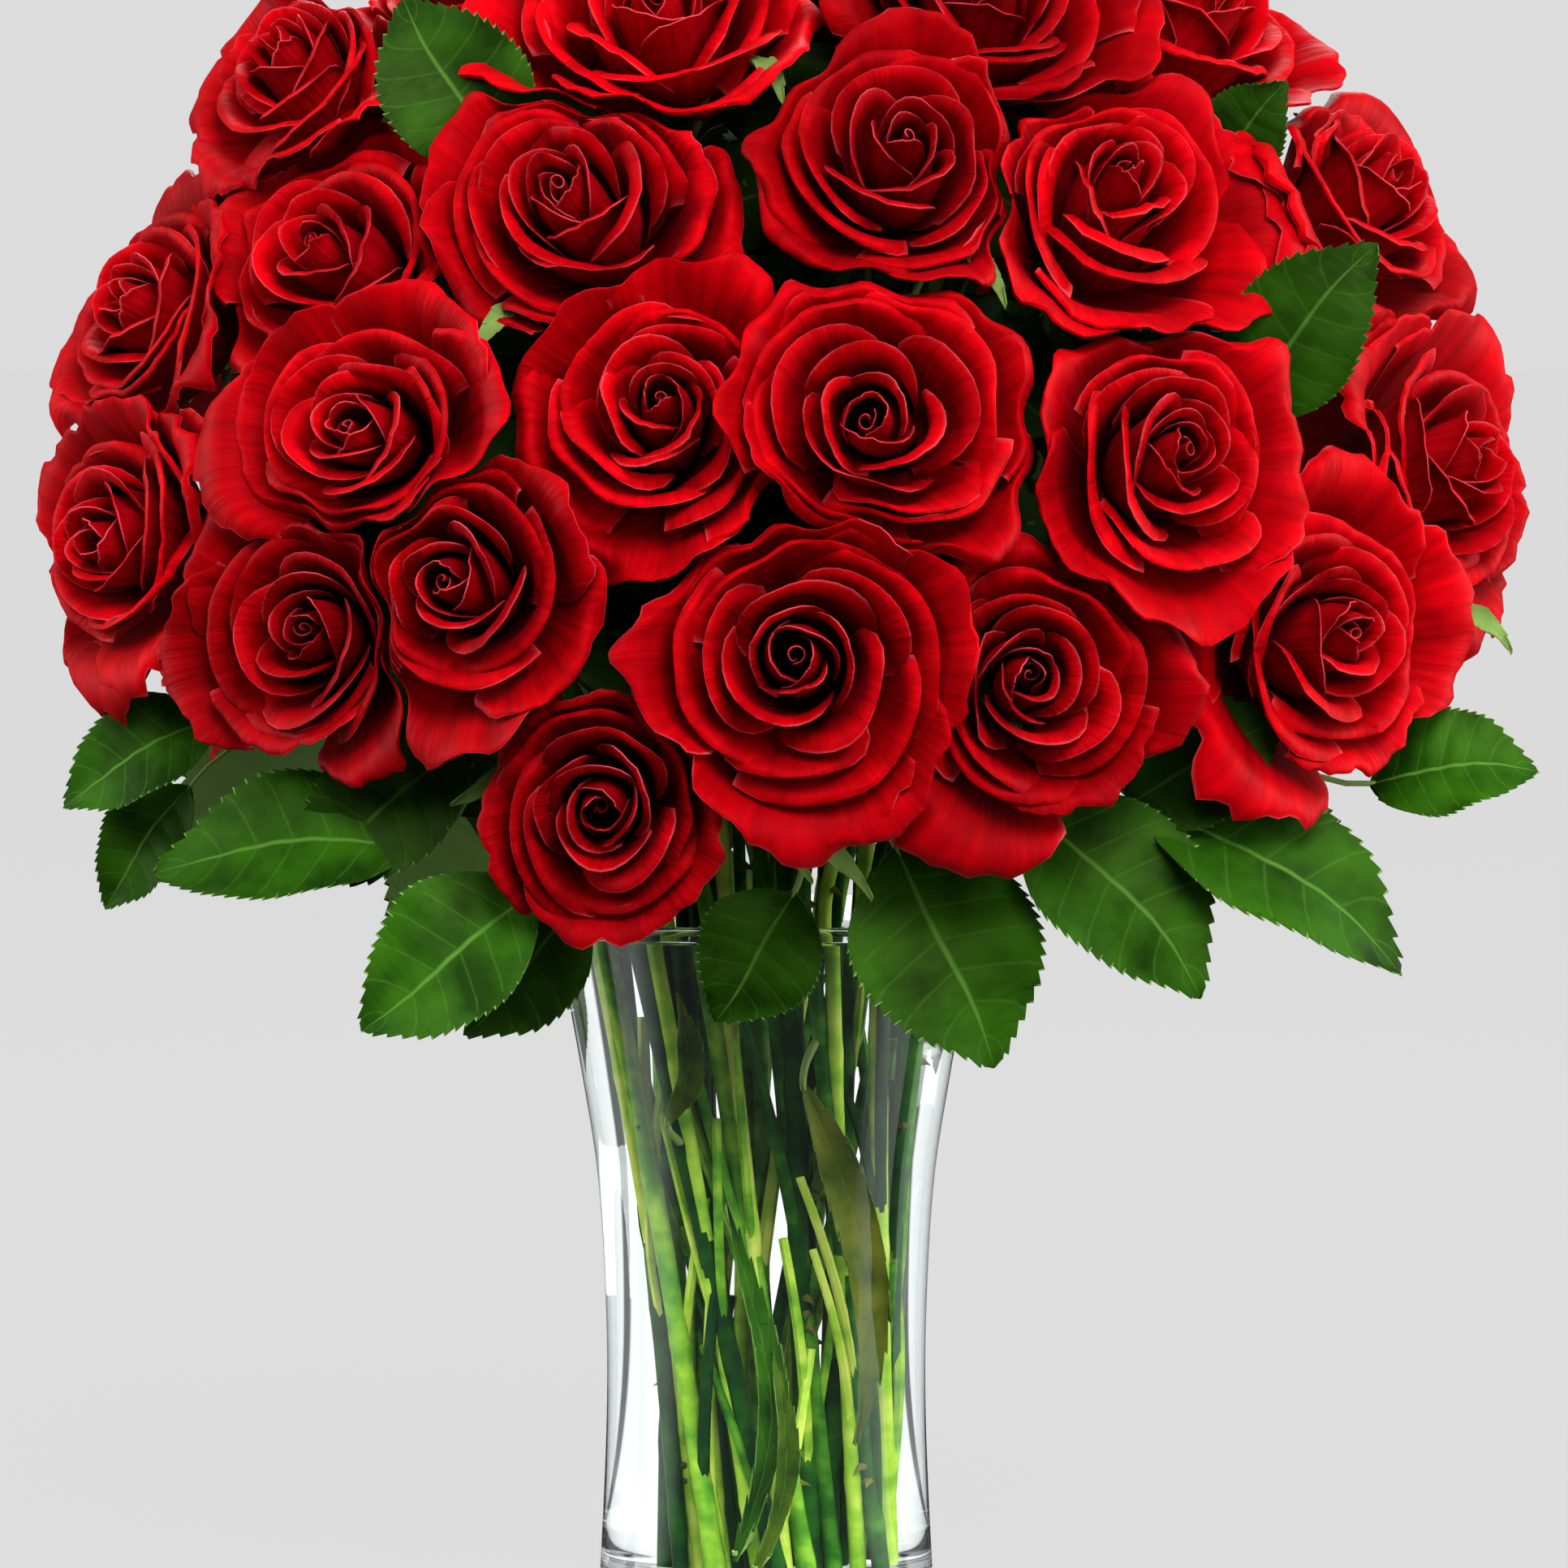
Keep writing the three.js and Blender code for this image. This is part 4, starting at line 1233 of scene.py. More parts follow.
    def sepals(self, rng: Random) -> Surface:
        """Make narrow sepals that fold back from the calyx, with a curled tip.

        Each follows a quadratic Bezier curve outwards and down, is widest near its root and tapers to a point.

        Args:
            rng: Random draws.

        Returns:
            The sepals as closed shells.
        """
        count = self.sepal_count
        u, v = np.linspace(-1, 1, 5), np.linspace(0, 1, 10)
        turn = math.tau * (np.arange(count) + rng.uniform(0, 1)) / count
        length = self.sepal_length * rng.uniform(0.8, 1.0, count)[:, None, None]
        t, across = v[None, :, None], u[None, None, :]
        droop = rng.uniform(-9, -4, count)[:, None, None]
        reach = (1 - t) ** 2 * 5.4 + 2 * t * (1 - t) * 0.6 * length + t * t * length
        height = (1 - t) ** 2 * -2.6 + 2 * t * (1 - t) * 0.5 + t * t * droop
        lobes = 1 + 0.25 * np.sin(t * 17) * (t > 0.2)
        half = 3.6 * (1 - t) ** 0.7 * (0.55 + 0.45 * np.sin(math.pi * np.minimum(1, t * 2.2))) * lobes + 0.15
        spread = np.arctan2(half * across, reach)
        height = height + 0.9 * across**2 * (1 - t)
        grid = self.path.flower.points(np.hypot(reach, half * across), turn[:, None, None] + spread, height)
        values = {"sepal": np.ones(count), "tint": np.full(count, 0.6)}
        return shell(pressed(grid, self.path.flower), 0.4, u, v, values)


@dataclass
class Leaf:
    """A toothed leaf blade, folded along its midrib and arched, on its stalk.

    Attributes:
        stem: The flower whose stem carries it.
        base: Where the blade starts.
        tip: Where its tip is.
        facing: The way that its upper face looks.
        width: Its width.
        arch: How far it arches.
        teeth: How many teeth each side has.
        columns: Points across the blade.
        thickness: The blade's thickness.
        fold: How steeply its halves fold up from the midrib.
        veins: How many side veins each half has.
        quilting: How deep the blade sinks between the veins.
        ripple: How high its edge waves.
        tooth_depth: How deep the teeth are, as a share of half the width.
        stalk_radii: The stalk's radius at the stem and at the blade.
        shade: How far it lies in the shadow of the flowers, from 0 to 1.
        joint: The point of the stem's line that the stalk springs from.
        rooted: For a leaf in the water, the height where its stalk springs from the stem.
        pale: How far its colour is that of the stalk.
        withered: How far its colour has gone to a brownish olive.
        bow: How far it bends sideways, as a share of its length.
    """

    stem: int
    base: Sequence[float]
    tip: Sequence[float]
    facing: Sequence[float]
    width: float
    arch: float
    teeth: int = 20
    columns: int = 9
    thickness: float = 0.35
    fold: float = 0.22
    veins: int = 7
    quilting: float = 0.45
    ripple: float = 0.9
    tooth_depth: float = 0.07
    stalk_radii: tuple[float, float] = (1.3, 0.8)
    shade: float = 0
    joint: int = 2
    rooted: float = 0
    pale: float = 0
    withered: float = 0
    bow: float = 0.03

    def build(self, path: StemPath, index: int) -> Surface:
        """Make the blade and its stalk.

        The blade's half width is a sine that ends in a point, notched at the teeth. Its height over the line
        from base to tip is an arch, a fold that rises from the midrib, quilting between the veins and a wave.

        Args:
            path: The stem that carries it.
            index: The leaf's number, which seeds its irregularities.

        Returns:
            The leaf.
        """
        rng = np.random.default_rng(900 + index)
        base, tip = np.array(self.base, float), np.array(self.tip, float)
        length = np.linalg.norm(tip - base)
        along = unit(tip - base)
        facing = np.array(self.facing, float)
        normal = unit(facing - (facing @ along) * along)
        side = np.cross(along, normal)
        in_tooth = np.array([0, 0.4, 0.8, 0.97])
        v = np.append((np.arange(self.teeth)[:, None] + in_tooth).ravel() / self.teeth, 1.0)
        u = np.linspace(-1, 1, self.columns)
        t, across = v[:, None], u[None, :]
        blade = np.sin(math.pi * t**0.82) ** 0.75 * (1 - 0.3 * smooth_step(0.72, 1, t))
        saw = (t * self.teeth) % 1
        notch = 1 - self.tooth_depth * (1 - saw) * np.abs(across) ** 6
        half = np.maximum(self.width / 2 * blade, 0.3) * notch
        between = 0.5 + 0.5 * np.cos(math.tau * (t * self.veins - 0.8 * np.abs(across)))
        quilt = self.quilting * between * np.sin(math.pi * t) * (1 - across**4)
        wave = self.ripple * np.sin(math.tau * (2.4 * t + rng.uniform(0, 1)) + across) * across**2
        keel = np.sqrt(across**2 + 0.01) - 0.1
        lift = self.arch * np.sin(math.pi * t) + self.fold * half * keel - quilt + wave - 0.06 * length * t**3
        forward = length * (t + 0.03 * saw * np.abs(across) ** 4 * (t < 0.99))
        sway = self.bow * length * rng.uniform(-1, 1) * np.sin(math.pi * t)
        aside = across * half + sway + 0.02 * length * np.sin(7 * t) * t
        grid = base + forward[..., None] * along + aside[..., None] * side + lift[..., None] * normal
        told = {"tint": rng.uniform(0, 1), "shade": self.shade, "stalk": self.pale, "withered": self.withered}
        blade_part = shell(grid[None], self.thickness, u, v, {key: np.array([x]) for key, x in told.items()})
        start = path.inside(self.rooted) if self.rooted else path.points[self.joint]
        ends = np.array([start, base + 3 * along])
        line = smooth_line(ends, [10], unit(base - start + np.array([0, 0, 6.0])), along)
        values = {"tint": told["tint"], "stalk": 1.0, "shade": self.shade}
        stalk = tube(line, np.linspace(*self.stalk_radii, len(line)), 8, values)
        return Surface.joined([blade_part, stalk])


# Long sepals whose pale tips show between the flowers: the flower, the root and the tip
SEPAL_TIPS = [
    (18, (-8, -98, 236), (13, -104, 220)),
    (18, (6, -98, 236), (29, -106, 216)),
    (19, (52, -98, 276), (70, -108, 257)),
    (14, (186, -44, 292), (205, -50, 279)),
    (11, (-66, -92, 374), (-78, -106, 362)),
    (11, (-62, -92, 334), (-72, -108, 320)),
    (12, (52, -96, 388), (64, -110, 374)),
    (4, (-4, -70, 440), (5, -84, 428)),
    (21, (-58, -92, 262), (-76, -104, 256)),
    (21, (-60, -92, 252), (-84, -100, 240)),
]

# Leaves that show: twelve from the front, three in the shade behind those, long sepals, and five at the back
LEAVES = [
    Leaf(21, (-62, -104, 217), (-108, -112, 181), (-0.2, -1, 0.5), 44, 4),
    Leaf(16, (-96, -92, 228), (-166, -84, 222), (0, -0.9, 0.8), 44, 5),
    Leaf(22, (-150, -44, 260), (-194, -46, 236), (-0.2, -1, 0.6), 32, 4),
    Leaf(22, (-160, -28, 240), (-184, -30, 206), (-0.2, -1, 0.4), 26, 4),
    Leaf(18, (8, -82, 215), (-13, -86, 180), (0.1, -1, 0.2), 36, 4),
    Leaf(18, (35, -88, 228), (63, -98, 170), (0.1, -1, 0.4), 54, 4),
    Leaf(19, (70, -84, 238), (119, -92, 189), (0.2, -1, 0.5), 48, 4),
    Leaf(20, (102, -76, 238), (174, -84, 196), (0.2, -0.9, 0.8), 46, 5),
    Leaf(14, (166, -50, 242), (211, -58, 248), (0.2, -0.9, 0.7), 36, 5),
    # Painted shade darkens these three upper leaves
    Leaf(14, (128, -62, 344), (164, -76, 390), (0, -1, 0.1), 38, 4, shade=0.45),
    Leaf(7, (122, -38, 410), (141, -52, 434), (0.1, -1, 0.2), 26, 3, shade=0.45),
    Leaf(0, (-70, -65, 410), (-99, -59, 457), (0.1, -1, 0.1), 42, 3, shade=0.25),
    Leaf(21, (-80, -84, 256), (-128, -88, 220), (-0.2, -1, 0.3), 40, 3, teeth=14, columns=7, shade=0.7),
    Leaf(21, (-50, -94, 214), (-80, -100, 178), (-0.1, -1, 0.2), 34, 3, teeth=14, columns=7, shade=0.6),
    Leaf(19, (98, -76, 238), (140, -82, 262), (0.2, -1, 0.3), 36, 3, teeth=14, columns=7, shade=0.7),
    *(
        Leaf(stem, base, tip, (0.2, -1, 0.4), 6, 4, teeth=6, columns=5, joint=3, pale=0.55)
        for stem, base, tip in SEPAL_TIPS
    ),
    Leaf(33, (-66, 84, 222), (-112, 100, 182), (-0.2, 1, 0.5), 44, 5),
    Leaf(34, (-20, 92, 218), (-28, 104, 164), (0, 1, 0.4), 46, 5),
    Leaf(34, (40, 92, 222), (64, 106, 170), (0.1, 1, 0.5), 46, 5),
    Leaf(35, (110, 58, 232), (176, 70, 206), (0.4, 0.9, 0.8), 42, 5),
    Leaf(29, (-110, 62, 252), (-176, 70, 222), (-0.4, 0.9, 0.8), 42, 5),
]


@dataclass
class Understory:
    """Leaves between the flowers, which fill the gaps of the dome from behind.

    Each gap is where three neighbouring flowers meet: a point as far from all three, with no flower nearer. A
    leaf lies across it at the depth of the flowers' feet, and a larger one across that behind it.

    Attributes:
        widest: How far a gap's middle may be from its flowers.
        depth: How far behind the flowers' feet the first leaf lies.
        layers: How much deeper each leaf lies, and its size as a share.
        length: A leaf's usual length.
        width: A leaf's usual width.
        collar_leaves: How many leaves stand round the stems above the vase.
    """

    widest: float = 78
    depth: float = 6
    layers: Sequence[tuple[float, float]] = ((0, 1.0), (9, 1.15))
    length: float = 52
    width: float = 40
    collar_leaves: int = 22

    def gaps(self) -> list[tuple[Array, tuple[int, int, int]]]:
        """Find the gaps between the flowers.

        The point as far from all three corners of a triangle lies in its plane, where the planes halfway
        between the corners cross.

        Returns:
            The middle of each gap and the numbers of its three flowers.
        """
        middles = np.array([f.middle for f in FLOWERS])
        triples = np.array(list(itertools.combinations(range(len(middles)), 3)))
        a, b, c = (middles[triples[:, k]] for k in range(3))
        ab, ac = b - a, c - a
        normal = np.cross(ab, ac)
        size = np.maximum((normal**2).sum(1, keepdims=True), 1e-9)
        aside = (ac**2).sum(1, keepdims=True) * np.cross(normal, ab)
        centre = a + (aside + (ab**2).sum(1, keepdims=True) * np.cross(ac, normal)) / (2 * size)
        radius = np.linalg.norm(centre - a, axis=1)
        nearest = np.linalg.norm(centre[:, None] - middles[None], axis=-1).min(1)
        kept = (radius < self.widest) & (nearest > radius - 0.5)
        return [(p, tuple(t)) for p, t in zip(centre[kept], triples[kept].tolist())]

    def collar(self, bundle: Bundle) -> list[Leaf]:
        """Place upright leaves round the stems just above the vase, each on the stem that is nearest to it.

        Args:
            bundle: The stems.

        Returns:
            The leaves.
        """
        rng = np.random.default_rng(11)
        bends = np.array([p.points[1] for p in bundle.paths])
        made = []
        for k in range(self.collar_leaves):
            angle = math.tau * k / self.collar_leaves + rng.uniform(-0.15, 0.15)
            outward = np.array([math.cos(angle), math.sin(angle), 0])
            aside = np.array([-outward[1], outward[0], 0])
            middle = outward * rng.uniform(52, 76) + np.array([0, 0, rng.uniform(228, 262)])
            along = unit(np.array([0, 0, 1.0]) + aside * rng.uniform(-1.2, 1.2) + outward * 0.5)
            half = 0.5 * self.length * rng.uniform(0.8, 1.1)
            nearest = int(np.argmin(np.linalg.norm(bends - (middle - along * half), axis=1)))
            stem = FLOWERS.index(bundle.paths[nearest].flower)
            facing = unit(outward + 0.3 * rng.normal(size=3))
            base, tip = middle - along * half, middle + along * half
            # Painted shade: the full shade value darkens these leaves among the stems
            made.append(Leaf(stem, base, tip, facing, self.width, 3, teeth=7, columns=7, shade=1, joint=1))
        return made

    def leaves(self) -> list[Leaf]:
        """Place leaves across each gap, on the stem of the lowest of the gap's flowers.

        Returns:
            The leaves.
        """
        rng = np.random.default_rng(7)
        made = []
        for centre, flowers in self.gaps():
            axis = unit(sum(FLOWERS[k].axis for k in flowers))
            back = np.mean([FLOWERS[k].height for k in flowers]) * (1 - MIDDLE_DEPTH) + self.depth
            carrier = min(flowers, key=lambda k: FLOWERS[k].foot[2])
            for deeper, size in self.layers:
                middle = centre - axis * (back + deeper)
                away = middle - FLOWERS[carrier].foot
                along = unit(away - (away @ axis) * axis + rng.normal(size=3) * 4)
                if deeper:
                    along = np.cross(axis, along)
                length = self.length * size * rng.uniform(0.8, 1.1)
                base, tip = middle - along * length * 0.5, middle + along * length * 0.5
                facing = unit(axis + 0.25 * rng.normal(size=3))
                width = self.width * size * rng.uniform(0.8, 1.1)
                # Painted shade: the full shade value darkens the leaves in the gaps
                made.append(Leaf(carrier, base, tip, facing, width, 3, teeth=6, columns=5, shade=1))
        return made


# Leaves in the water, in front of the stems: base, tip, width, the height of the stalk's root, and how withered
SUNKEN = [
    ((9, -33, 160), (25, -29, 56), 13, 172, 0.9),
    ((-8, -33, 24), (-10, -37, 124), 8, 30, 0.0),
    ((-3, -34, 20), (2, -37, 90), 6, 26, 0.3),
    ((-26, -33, 146), (-22, -35, 184), 8, 140, 0.5),
]


@dataclass
class Greens:
    """The stems with their leaves, two stems a node.

    Attributes:
        bundle: The stems' lines.
    """

    bundle: Bundle

    def sunken(self) -> list[Leaf]:
        """Place the leaves in the water, each on the stem that is nearest to its base.

        Returns:
            The leaves.
        """
        made = []
        for base, tip, width, root, withered in SUNKEN:
            apart = [np.linalg.norm(path.inside(root) - np.array(base)) for path in self.bundle.paths]
            stem = FLOWERS.index(self.bundle.paths[int(np.argmin(apart))].flower)
            made.append(Leaf(
                stem, base, tip, (0.3, -1, 0), width, 2,
                teeth=12, columns=7, fold=0.7, rooted=root, withered=withered, bow=0.12,
            ))
        return made

    def build(self, stem_finish: Material, leaf_finish: Material) -> None:
        """Make a piece of stems and a piece of leaves for each pair.

        Args:
            stem_finish: The stems' material.
            leaf_finish: The leaves' material.
        """
        understory = Understory()
        leaves = [*LEAVES, *understory.leaves(), *understory.collar(self.bundle), *self.sunken()]
        LOG.info("%d leaves between the flowers", len(leaves) - len(LEAVES))
        for pair in range(len(self.bundle.pairs)):
            node = f"stems_{pair + 1:02d}"
            paths = [(k, p) for k, p in enumerate(self.bundle.paths) if p.pair == pair]
            stems = Surface.joined([Stem(path, k).build() for k, path in paths])
            make_piece(f"{node}_stalks", stems, stem_finish, node)
            blades = [
                leaf.build(path, n)
                for _, path in paths
                for n, leaf in enumerate(leaves)
                if FLOWERS[leaf.stem] is path.flower
            ]
            if blades:
                make_piece(f"{node}_leaves", Surface.joined(blades), leaf_finish, node)


@dataclass
class Vase:
    """A heavy pressed-glass gathering vase with its water, as [radius, height] profiles.

    Attributes:
        foot: The underside and the foot's rounded edge.
        outside: The outer wall, up to the lip.
        lip: The rounded lip.
        inside: The inner wall, down from the lip.
        corner: The rounded corner between the inner wall and the floor.
        sides: The number of steps round the axis.
        water_level: The water's height.
        film: The gap between water and glass; below 0 the water reaches into the glass.
    """

    foot: Sequence[Sequence[float]] = ((0, 0), (44.5, 0), (46.8, 0.5))
    outside: Sequence[Sequence[float]] = (
        (48.0, 2.5), (47.0, 18), (45.2, 60), (45.4, 92), (47.6, 128), (52.2, 158), (57.0, 184), (60.6, 200.5),
    )
    lip: Sequence[Sequence[float]] = (
        (60.9, 201.8), (60.3, 202.7), (59.0, VASE_HEIGHT), (57.8, 202.8), (56.8, 202.3),
    )
    inside: Sequence[Sequence[float]] = (
        (56.4, 201.5), (52.6, 184), (47.6, 158), (42.6, 128), (40.2, 92), (39.8, 60), (40.6, 24),
    )
    corner: Sequence[Sequence[float]] = ((40.2, 19), (38.6, 16), (35.5, VASE_FLOOR))
    sides: int = 128
    water_level: float = 198
    film: float = -0.06

    def build(self, glass: Material, water: Material) -> None:
        """Make the vase and the water."""
        make_piece("vase_glass", turned(self.glass_profile(), self.sides), glass, "vase")
        make_piece("vase_water", turned(self.water_profile(), self.sides), water, "water")

    def inner_wall(self) -> Array:
        """The inside from the lip down to the floor, as a smooth line."""
        return smooth_line(np.array([*self.inside, *self.corner]), [8] * 6 + [3] * 3)

    def glass_profile(self) -> Array:
        """The underside, the outside, the rounded lip, the inside and the floor."""
        outer = smooth_line(np.array(self.outside), [4, 8, 8, 8, 8, 8, 6])
        return np.concatenate([self.foot, outer, self.lip, self.inner_wall(), [[0, VASE_FLOOR]]])

    def water_profile(self) -> Array:
        """Work out the water's body: the inside less the film, up to a level that creeps up the glass.

        Returns:
            The profile.
        """
        above = self.inner_wall()[::-1]
        brim = np.interp(self.water_level, above[:, 1], above[:, 0])
        wall = above[above[:, 1] < self.water_level]
        low = VASE_FLOOR + self.film
        wall = np.column_stack([wall[:, 0] - self.film, np.maximum(wall[:, 1], low)])
        level = self.water_level
        creep = [[brim - self.film, level + 1.2], [brim - 1.2, level + 0.3], [brim - 3.0, level]]
        return np.concatenate([[[0, low]], wall, creep, [[0, level]]])


def add_node(tree: Tree, kind: str, out: int | str = 0, **told: Any) -> Any:
    """Add a shader node, set its properties, and link or fill its inputs.

    Args:
        tree: The node tree.
        kind: The node's type, less the words that all types start with.
        out: The output that is wanted, by number or name.
        told: The node's own properties by their names, its sockets by theirs, which start with a capital, with
            _ for a space, or by number as i0, i1. A socket takes another node's output, or a value.

    Returns:
        The wanted output, or None for a node that has no outputs.
    """
    node = tree.nodes.new(f"ShaderNode{kind}")
    for key, value in told.items():
        numbered = key[1:].isdigit()
        if key[0].islower() and not numbered:
            setattr(node, key, value)
            continue
        socket = node.inputs[int(key[1:]) if numbered else key.replace("_", " ")]
        if isinstance(value, bpy.types.NodeSocket):
            tree.links.new(value, socket)
        else:
            socket.default_value = value
    return node.outputs[out] if len(node.outputs) else None


def new_material(name: str, *reads: str) -> tuple[Any, ...]:
    """Start a material.

    Args:
        name: Its name.
        reads: The named numbers of a mesh's points that it reads.

    Returns:
        The material, its node tree, and an output for each number.
    """
    material = bpy.data.materials.new(name)
    material.use_nodes = True
    tree = material.node_tree
    tree.nodes.clear()
    return material, tree, *(add_node(tree, "Attribute", "Fac", attribute_name=key) for key in reads)


# What a node that blends two colours is told. Its result is its third output.
BLEND = {"out": 2, "data_type": "RGBA", "blend_type": "MIX"}


@dataclass(frozen=True)
class PetalFinish:
    """Fresh rose petals: a velvety red darkened low down between the petals by painted shade, a paler edge
    painted as light coming through the thin rim, a duller back and fine veins that fan out.

    Attributes:
        deep: The dark red low down between the petals: painted shade in the flower's depths.
        bright: The red near the rim.
        reverse: The duller red of the outer faces.
        edge: The pale pink painted on the thin rim, as painted light coming through it.
        fuzz: The tint of the velvet's sheen.
        gleam: The tint of the gloss.
        roughness: How matt the petals are.
        sheen: How strong the velvet's sheen is.
        gloss: How strong the gloss is.
        blotch_mm: The size of the soft lighter and darker patches.
        fan: How closely the veins stand across a petal.
        vein_depth_mm: How far the veins stand out.
    """

    deep: str = "620002"
    bright: str = "B40008"
    reverse: str = "8C020C"
    edge: str = "E2505C"
    fuzz: str = "FF2038"
    gleam: str = "FF3848"
    roughness: float = 0.55
    sheen: float = 0.1
    gloss: float = 0.25
    blotch_mm: float = 14.0
    fan: float = 10.0
    vein_depth_mm: float = 0.9

    def material(self) -> Material:
        """Build the petal material.

        Returns:
            The material.
        """
        reads = "back", "rim", "tint", "tone"
        material, tree, back, rim, tint, tone = new_material("rose_petal_velvet", *reads)
        place = add_node(tree, "SeparateXYZ", Vector=add_node(tree, "UVMap", uv_map="place"))
        across, up = place.node.outputs[:2]
        # Painted shade: the red is darkest low down between the petals, in the flower's depths, and lightens
        # towards the rims; the outer faces are duller
        painted_shade_fade = add_node(tree, "MapRange", Value=up, From_Min=0.2, From_Max=0.95)
        colour = add_node(tree, "Mix", **BLEND, i0=painted_shade_fade, i6=linear(self.deep), i7=linear(self.bright))
        outer = add_node(tree, "MapRange", Value=back, To_Min=0.75, To_Max=0.0)
        colour = add_node(tree, "Mix", **BLEND, i0=outer, i6=colour, i7=linear(self.reverse))
        # Soft patches, streaks along the veins and each petal's own tint keep the red alive; each flower's red
        # is also darkened by painted shade or lightened by painted light
        coords = add_node(tree, "TexCoord", "Object")
        blotch = add_node(tree, "TexNoise", Vector=coords, Scale=1 / (self.blotch_mm * MM), Detail=3.0)
        patch = add_node(tree, "MapRange", Value=blotch, From_Min=0.3, From_Max=0.7, To_Min=0.66, To_Max=1.16)
        each = add_node(tree, "MapRange", Value=tint, To_Min=0.8, To_Max=1.1)
        each = add_node(tree, "Math", operation="MULTIPLY", i0=each, i1=tone)
        spread = add_node(tree, "Math", operation="MULTIPLY", i0=across, i1=self.fan)
        fan = add_node(tree, "CombineXYZ", X=spread, Y=up, Z=tint)
        veins = add_node(tree, "TexNoise", Vector=fan, Scale=1.0, Detail=5.0)
        streak = add_node(tree, "MapRange", Value=veins, From_Min=0.3, From_Max=0.65, To_Min=0.76, To_Max=1.16)
        shade = add_node(tree, "Math", operation="MULTIPLY", i0=patch, i1=streak)
        level = add_node(tree, "Math", operation="MULTIPLY", i0=shade, i1=each)
        colour = add_node(tree, "VectorMath", operation="SCALE", i0=colour, Scale=level)
        # Painted light: a pale pink edge, here and there, for light that comes through the thin rim
        thin = add_node(tree, "Math", operation="POWER", i0=rim, i1=4.0)
        patchy = add_node(tree, "MapRange", Value=blotch, From_Min=0.35, From_Max=0.65, To_Min=0.0, To_Max=0.6)
        painted_rim_light = add_node(tree, "Math", operation="MULTIPLY", i0=thin, i1=patchy)
        colour = add_node(tree, "Mix", **BLEND, i0=painted_rim_light, i6=colour, i7=linear(self.edge))
        # Fine raised veins catch the light, and a weak red sheen makes the surface velvety
        bump = add_node(tree, "Bump", Strength=0.9, Distance=self.vein_depth_mm * MM, Height=veins)
        shader = add_node(
            tree, "BsdfPrincipled", Base_Color=colour, Roughness=self.roughness, Normal=bump,
            Sheen_Weight=self.sheen, Sheen_Roughness=0.4, Sheen_Tint=linear(self.fuzz),
            Specular_IOR_Level=self.gloss, Specular_Tint=linear(self.gleam),
        )
        add_node(tree, "OutputMaterial", Surface=shader)
        return material


